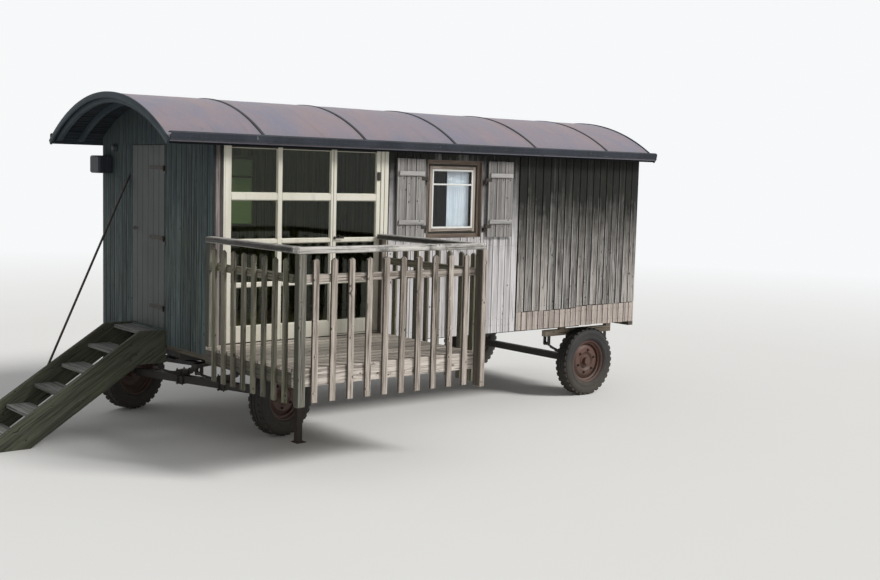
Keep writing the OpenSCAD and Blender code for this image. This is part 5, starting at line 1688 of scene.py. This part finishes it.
# Tyre: half the casing from the bead over the shoulder, then its grooves, as (radius, off the middle).
wheel = {
    "radius": 0.42, "steer": 18, "lugs": 34, "nuts": 6, "nutRing": 0.14, "nutStart": 0.3, "nutFace": 0.033,
    "casing": [(0.263, 0.07), (0.272, 0.082), (0.284, 0.089), (0.292, 0.0915), (0.3, 0.0945),
               (0.306, 0.0918), (0.33, 0.0948), (0.352, 0.0945), (0.358, 0.0952), (0.364, 0.0938),
               (0.385, 0.09), (0.396, 0.084), (0.403, 0.074), (0.407, 0.058)],
    "grooves": [(0.408, 0.05), (0.401, 0.047), (0.401, 0.039), (0.4105, 0.036), (0.411, 0.012),
                (0.403, 0.009)],
    "lug": {"from": 0.04, "to": 0.078, "wide": 0.046, "high": 0.02, "sink": 0.0105},
    "nut": ((16, 0.017, 0.004, 0.002), (6, 0.013, 0.014, 0.011), (16, 0.006, 0.008, 0.022)),
}
for node in ("chassis_beams", "chassis_crossbars", "front_axle", "rear_axle"):
    paintNode(node, "chassis")
paintNode("floor_bearers", "bearers")
paintNode("spring_beams", "beams")


def wheelMatrix(node):
    # The centre of a tyre, its axle along local Z, facing out of the hut.
    low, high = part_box(node)
    steer = math.radians(wheel["steer"]) if "front" in node else 0.0
    outward = math.pi / 2 if node.endswith("near") else -math.pi / 2
    turn = Matrix.Rotation(steer, 4, "Z") @ Matrix.Rotation(outward, 4, "X")
    return Matrix.Translation((low + high) / 2) @ turn


def lugMesh():
    # One tread block in two halves, standing on the casing with its long side across the tyre.
    block, lug = newPile(), wheel["lug"]
    for a, b in ((lug["from"], lug["to"]), (-lug["to"], -lug["from"])):
        addBar(Vector((0.0, 0.0, a)), Vector((0.0, 0.0, b)), lug["wide"], lug["high"], Vector((1, 0, 0)),
               into=block)
    mesh = bpy.data.meshes.new("lug")
    mesh.from_pydata([tuple(point) for point in block["points"]], [], block["faces"])
    return mesh


def nutMesh():
    # Washer, nut and the end of its stud, as (sides, radius, height, middle).
    mesh = bpy.data.meshes.new("nut")
    work = bmesh.new()
    for sides, wide, tall, lift in wheel["nut"]:
        bmesh.ops.create_cone(work, cap_ends=True, segments=sides, radius1=wide, radius2=wide * 0.93,
                              depth=tall, matrix=Matrix.Translation((0, 0, lift)))
    work.to_mesh(mesh)
    work.free()
    return mesh


side = wheel["casing"] + wheel["grooves"]
tyreProfile = side + [(r, -z) for r, z in reversed(side)]
for place in ("front_near", "front_far", "rear_near", "rear_far"):
    matrix = wheelMatrix("tyre_" + place)
    body = "wheel_" + place
    addTurned(tyreProfile, matrix, 120)
    lugs = grow(repeatRound, {"Count": wheel["lugs"], "Radius": wheel["radius"] - wheel["lug"]["sink"]},
                lugMesh())
    addMesh(lugs, matrix)
    finishPiece("tyre_" + place + "_casing", "tyreRubber", ["tyre_" + place], body, 32)
    paintNode("rim_" + place, "rim")
    nuts = grow(repeatRound, {"Count": wheel["nuts"], "Radius": wheel["nutRing"],
                              "Start": wheel["nutStart"]}, nutMesh())
    addMesh(nuts, matrix @ Matrix.Translation((0, 0, wheel["nutFace"])))
    finishPiece("rim_" + place + "_nuts", "iron", body=body)
print("wheels dressed")

studio = {"reach": 60.0, "floor": (0.8, 0.8, 0.79), "sky": (0.93, 0.94, 0.95), "fade": (9.0, 26.0),
          "fill": 0.4,
          "key": {"from": (0.45, -0.65, 0.62), "far": 12.0, "power": 2.67, "spread": 0.3,
                  "colour": (1.0, 0.985, 0.96)}}
floorMesh = bpy.data.meshes.new("studio_floor")
reach = studio["reach"]
floorMesh.from_pydata([(-reach, -reach, 0.0), (reach, -reach, 0.0), (reach, reach, 0.0),
                       (-reach, reach, 0.0)], [], [(0, 1, 2, 3)])
floor = addObject("studio_floor", floorMesh)
floorMaterial, tree, shader = newMaterial("studioFloor", Roughness=0.95)
place = ownPlace(tree)
pale = blend(tree, speckle(tree, place, 0.8, 4.0), studio["floor"],
             tuple(c * 0.985 for c in studio["floor"]))
feed(tree, shader.inputs["Base Color"], pale)


def seenRays(tree):
    # 1 for the rays that show the backdrop itself, 0 for those that light the hut.
    rays = addNode(tree, "ShaderNodeLightPath").outputs
    direct = plus(tree, rays["Is Camera Ray"], rays["Is Glossy Ray"])
    return plus(tree, direct, rays["Is Transmission Ray"], clamp=True)


# far off, the floor passes into the sky
away = addNode(tree, "ShaderNodeVectorMath", {0: place}, operation="LENGTH").outputs["Value"]
haze = span(tree, away, *studio["fade"])
glow = addNode(tree, "ShaderNodeEmission", {"Color": studio["sky"], "Strength": 1.0})
showMix(tree, times(tree, haze, seenRays(tree)), shader, glow)
floorMesh.materials.append(floorMaterial)

world = bpy.data.worlds.new("studio")
bpy.context.scene.world = world
world.use_nodes = True
tree = world.node_tree
tree.nodes.clear()
light = addNode(tree, "ShaderNodeBackground", {"Color": (1.0, 1.0, 1.0), "Strength": studio["fill"]})
sky = addNode(tree, "ShaderNodeBackground", {"Color": studio["sky"], "Strength": 1.0})
addNode(tree, "ShaderNodeOutputWorld")
showMix(tree, seenRays(tree), light, sky)

key = studio["key"]
lampData = bpy.data.lights.new("key", "SUN")
lampData.energy = key["power"]
lampData.angle = key["spread"]
lampData.color = key["colour"]
lamp = addObject("key", lampData)
towards = Vector(key["from"]).normalized()
aim = towards.to_track_quat("Z", "Y").to_matrix().to_4x4()
lamp.matrix_world = Matrix.Translation(at(length / 2, 0.0, 0.0) + towards * key["far"]) @ aim
bpy.context.scene.view_settings.view_transform = "Standard"
print("studio lit")
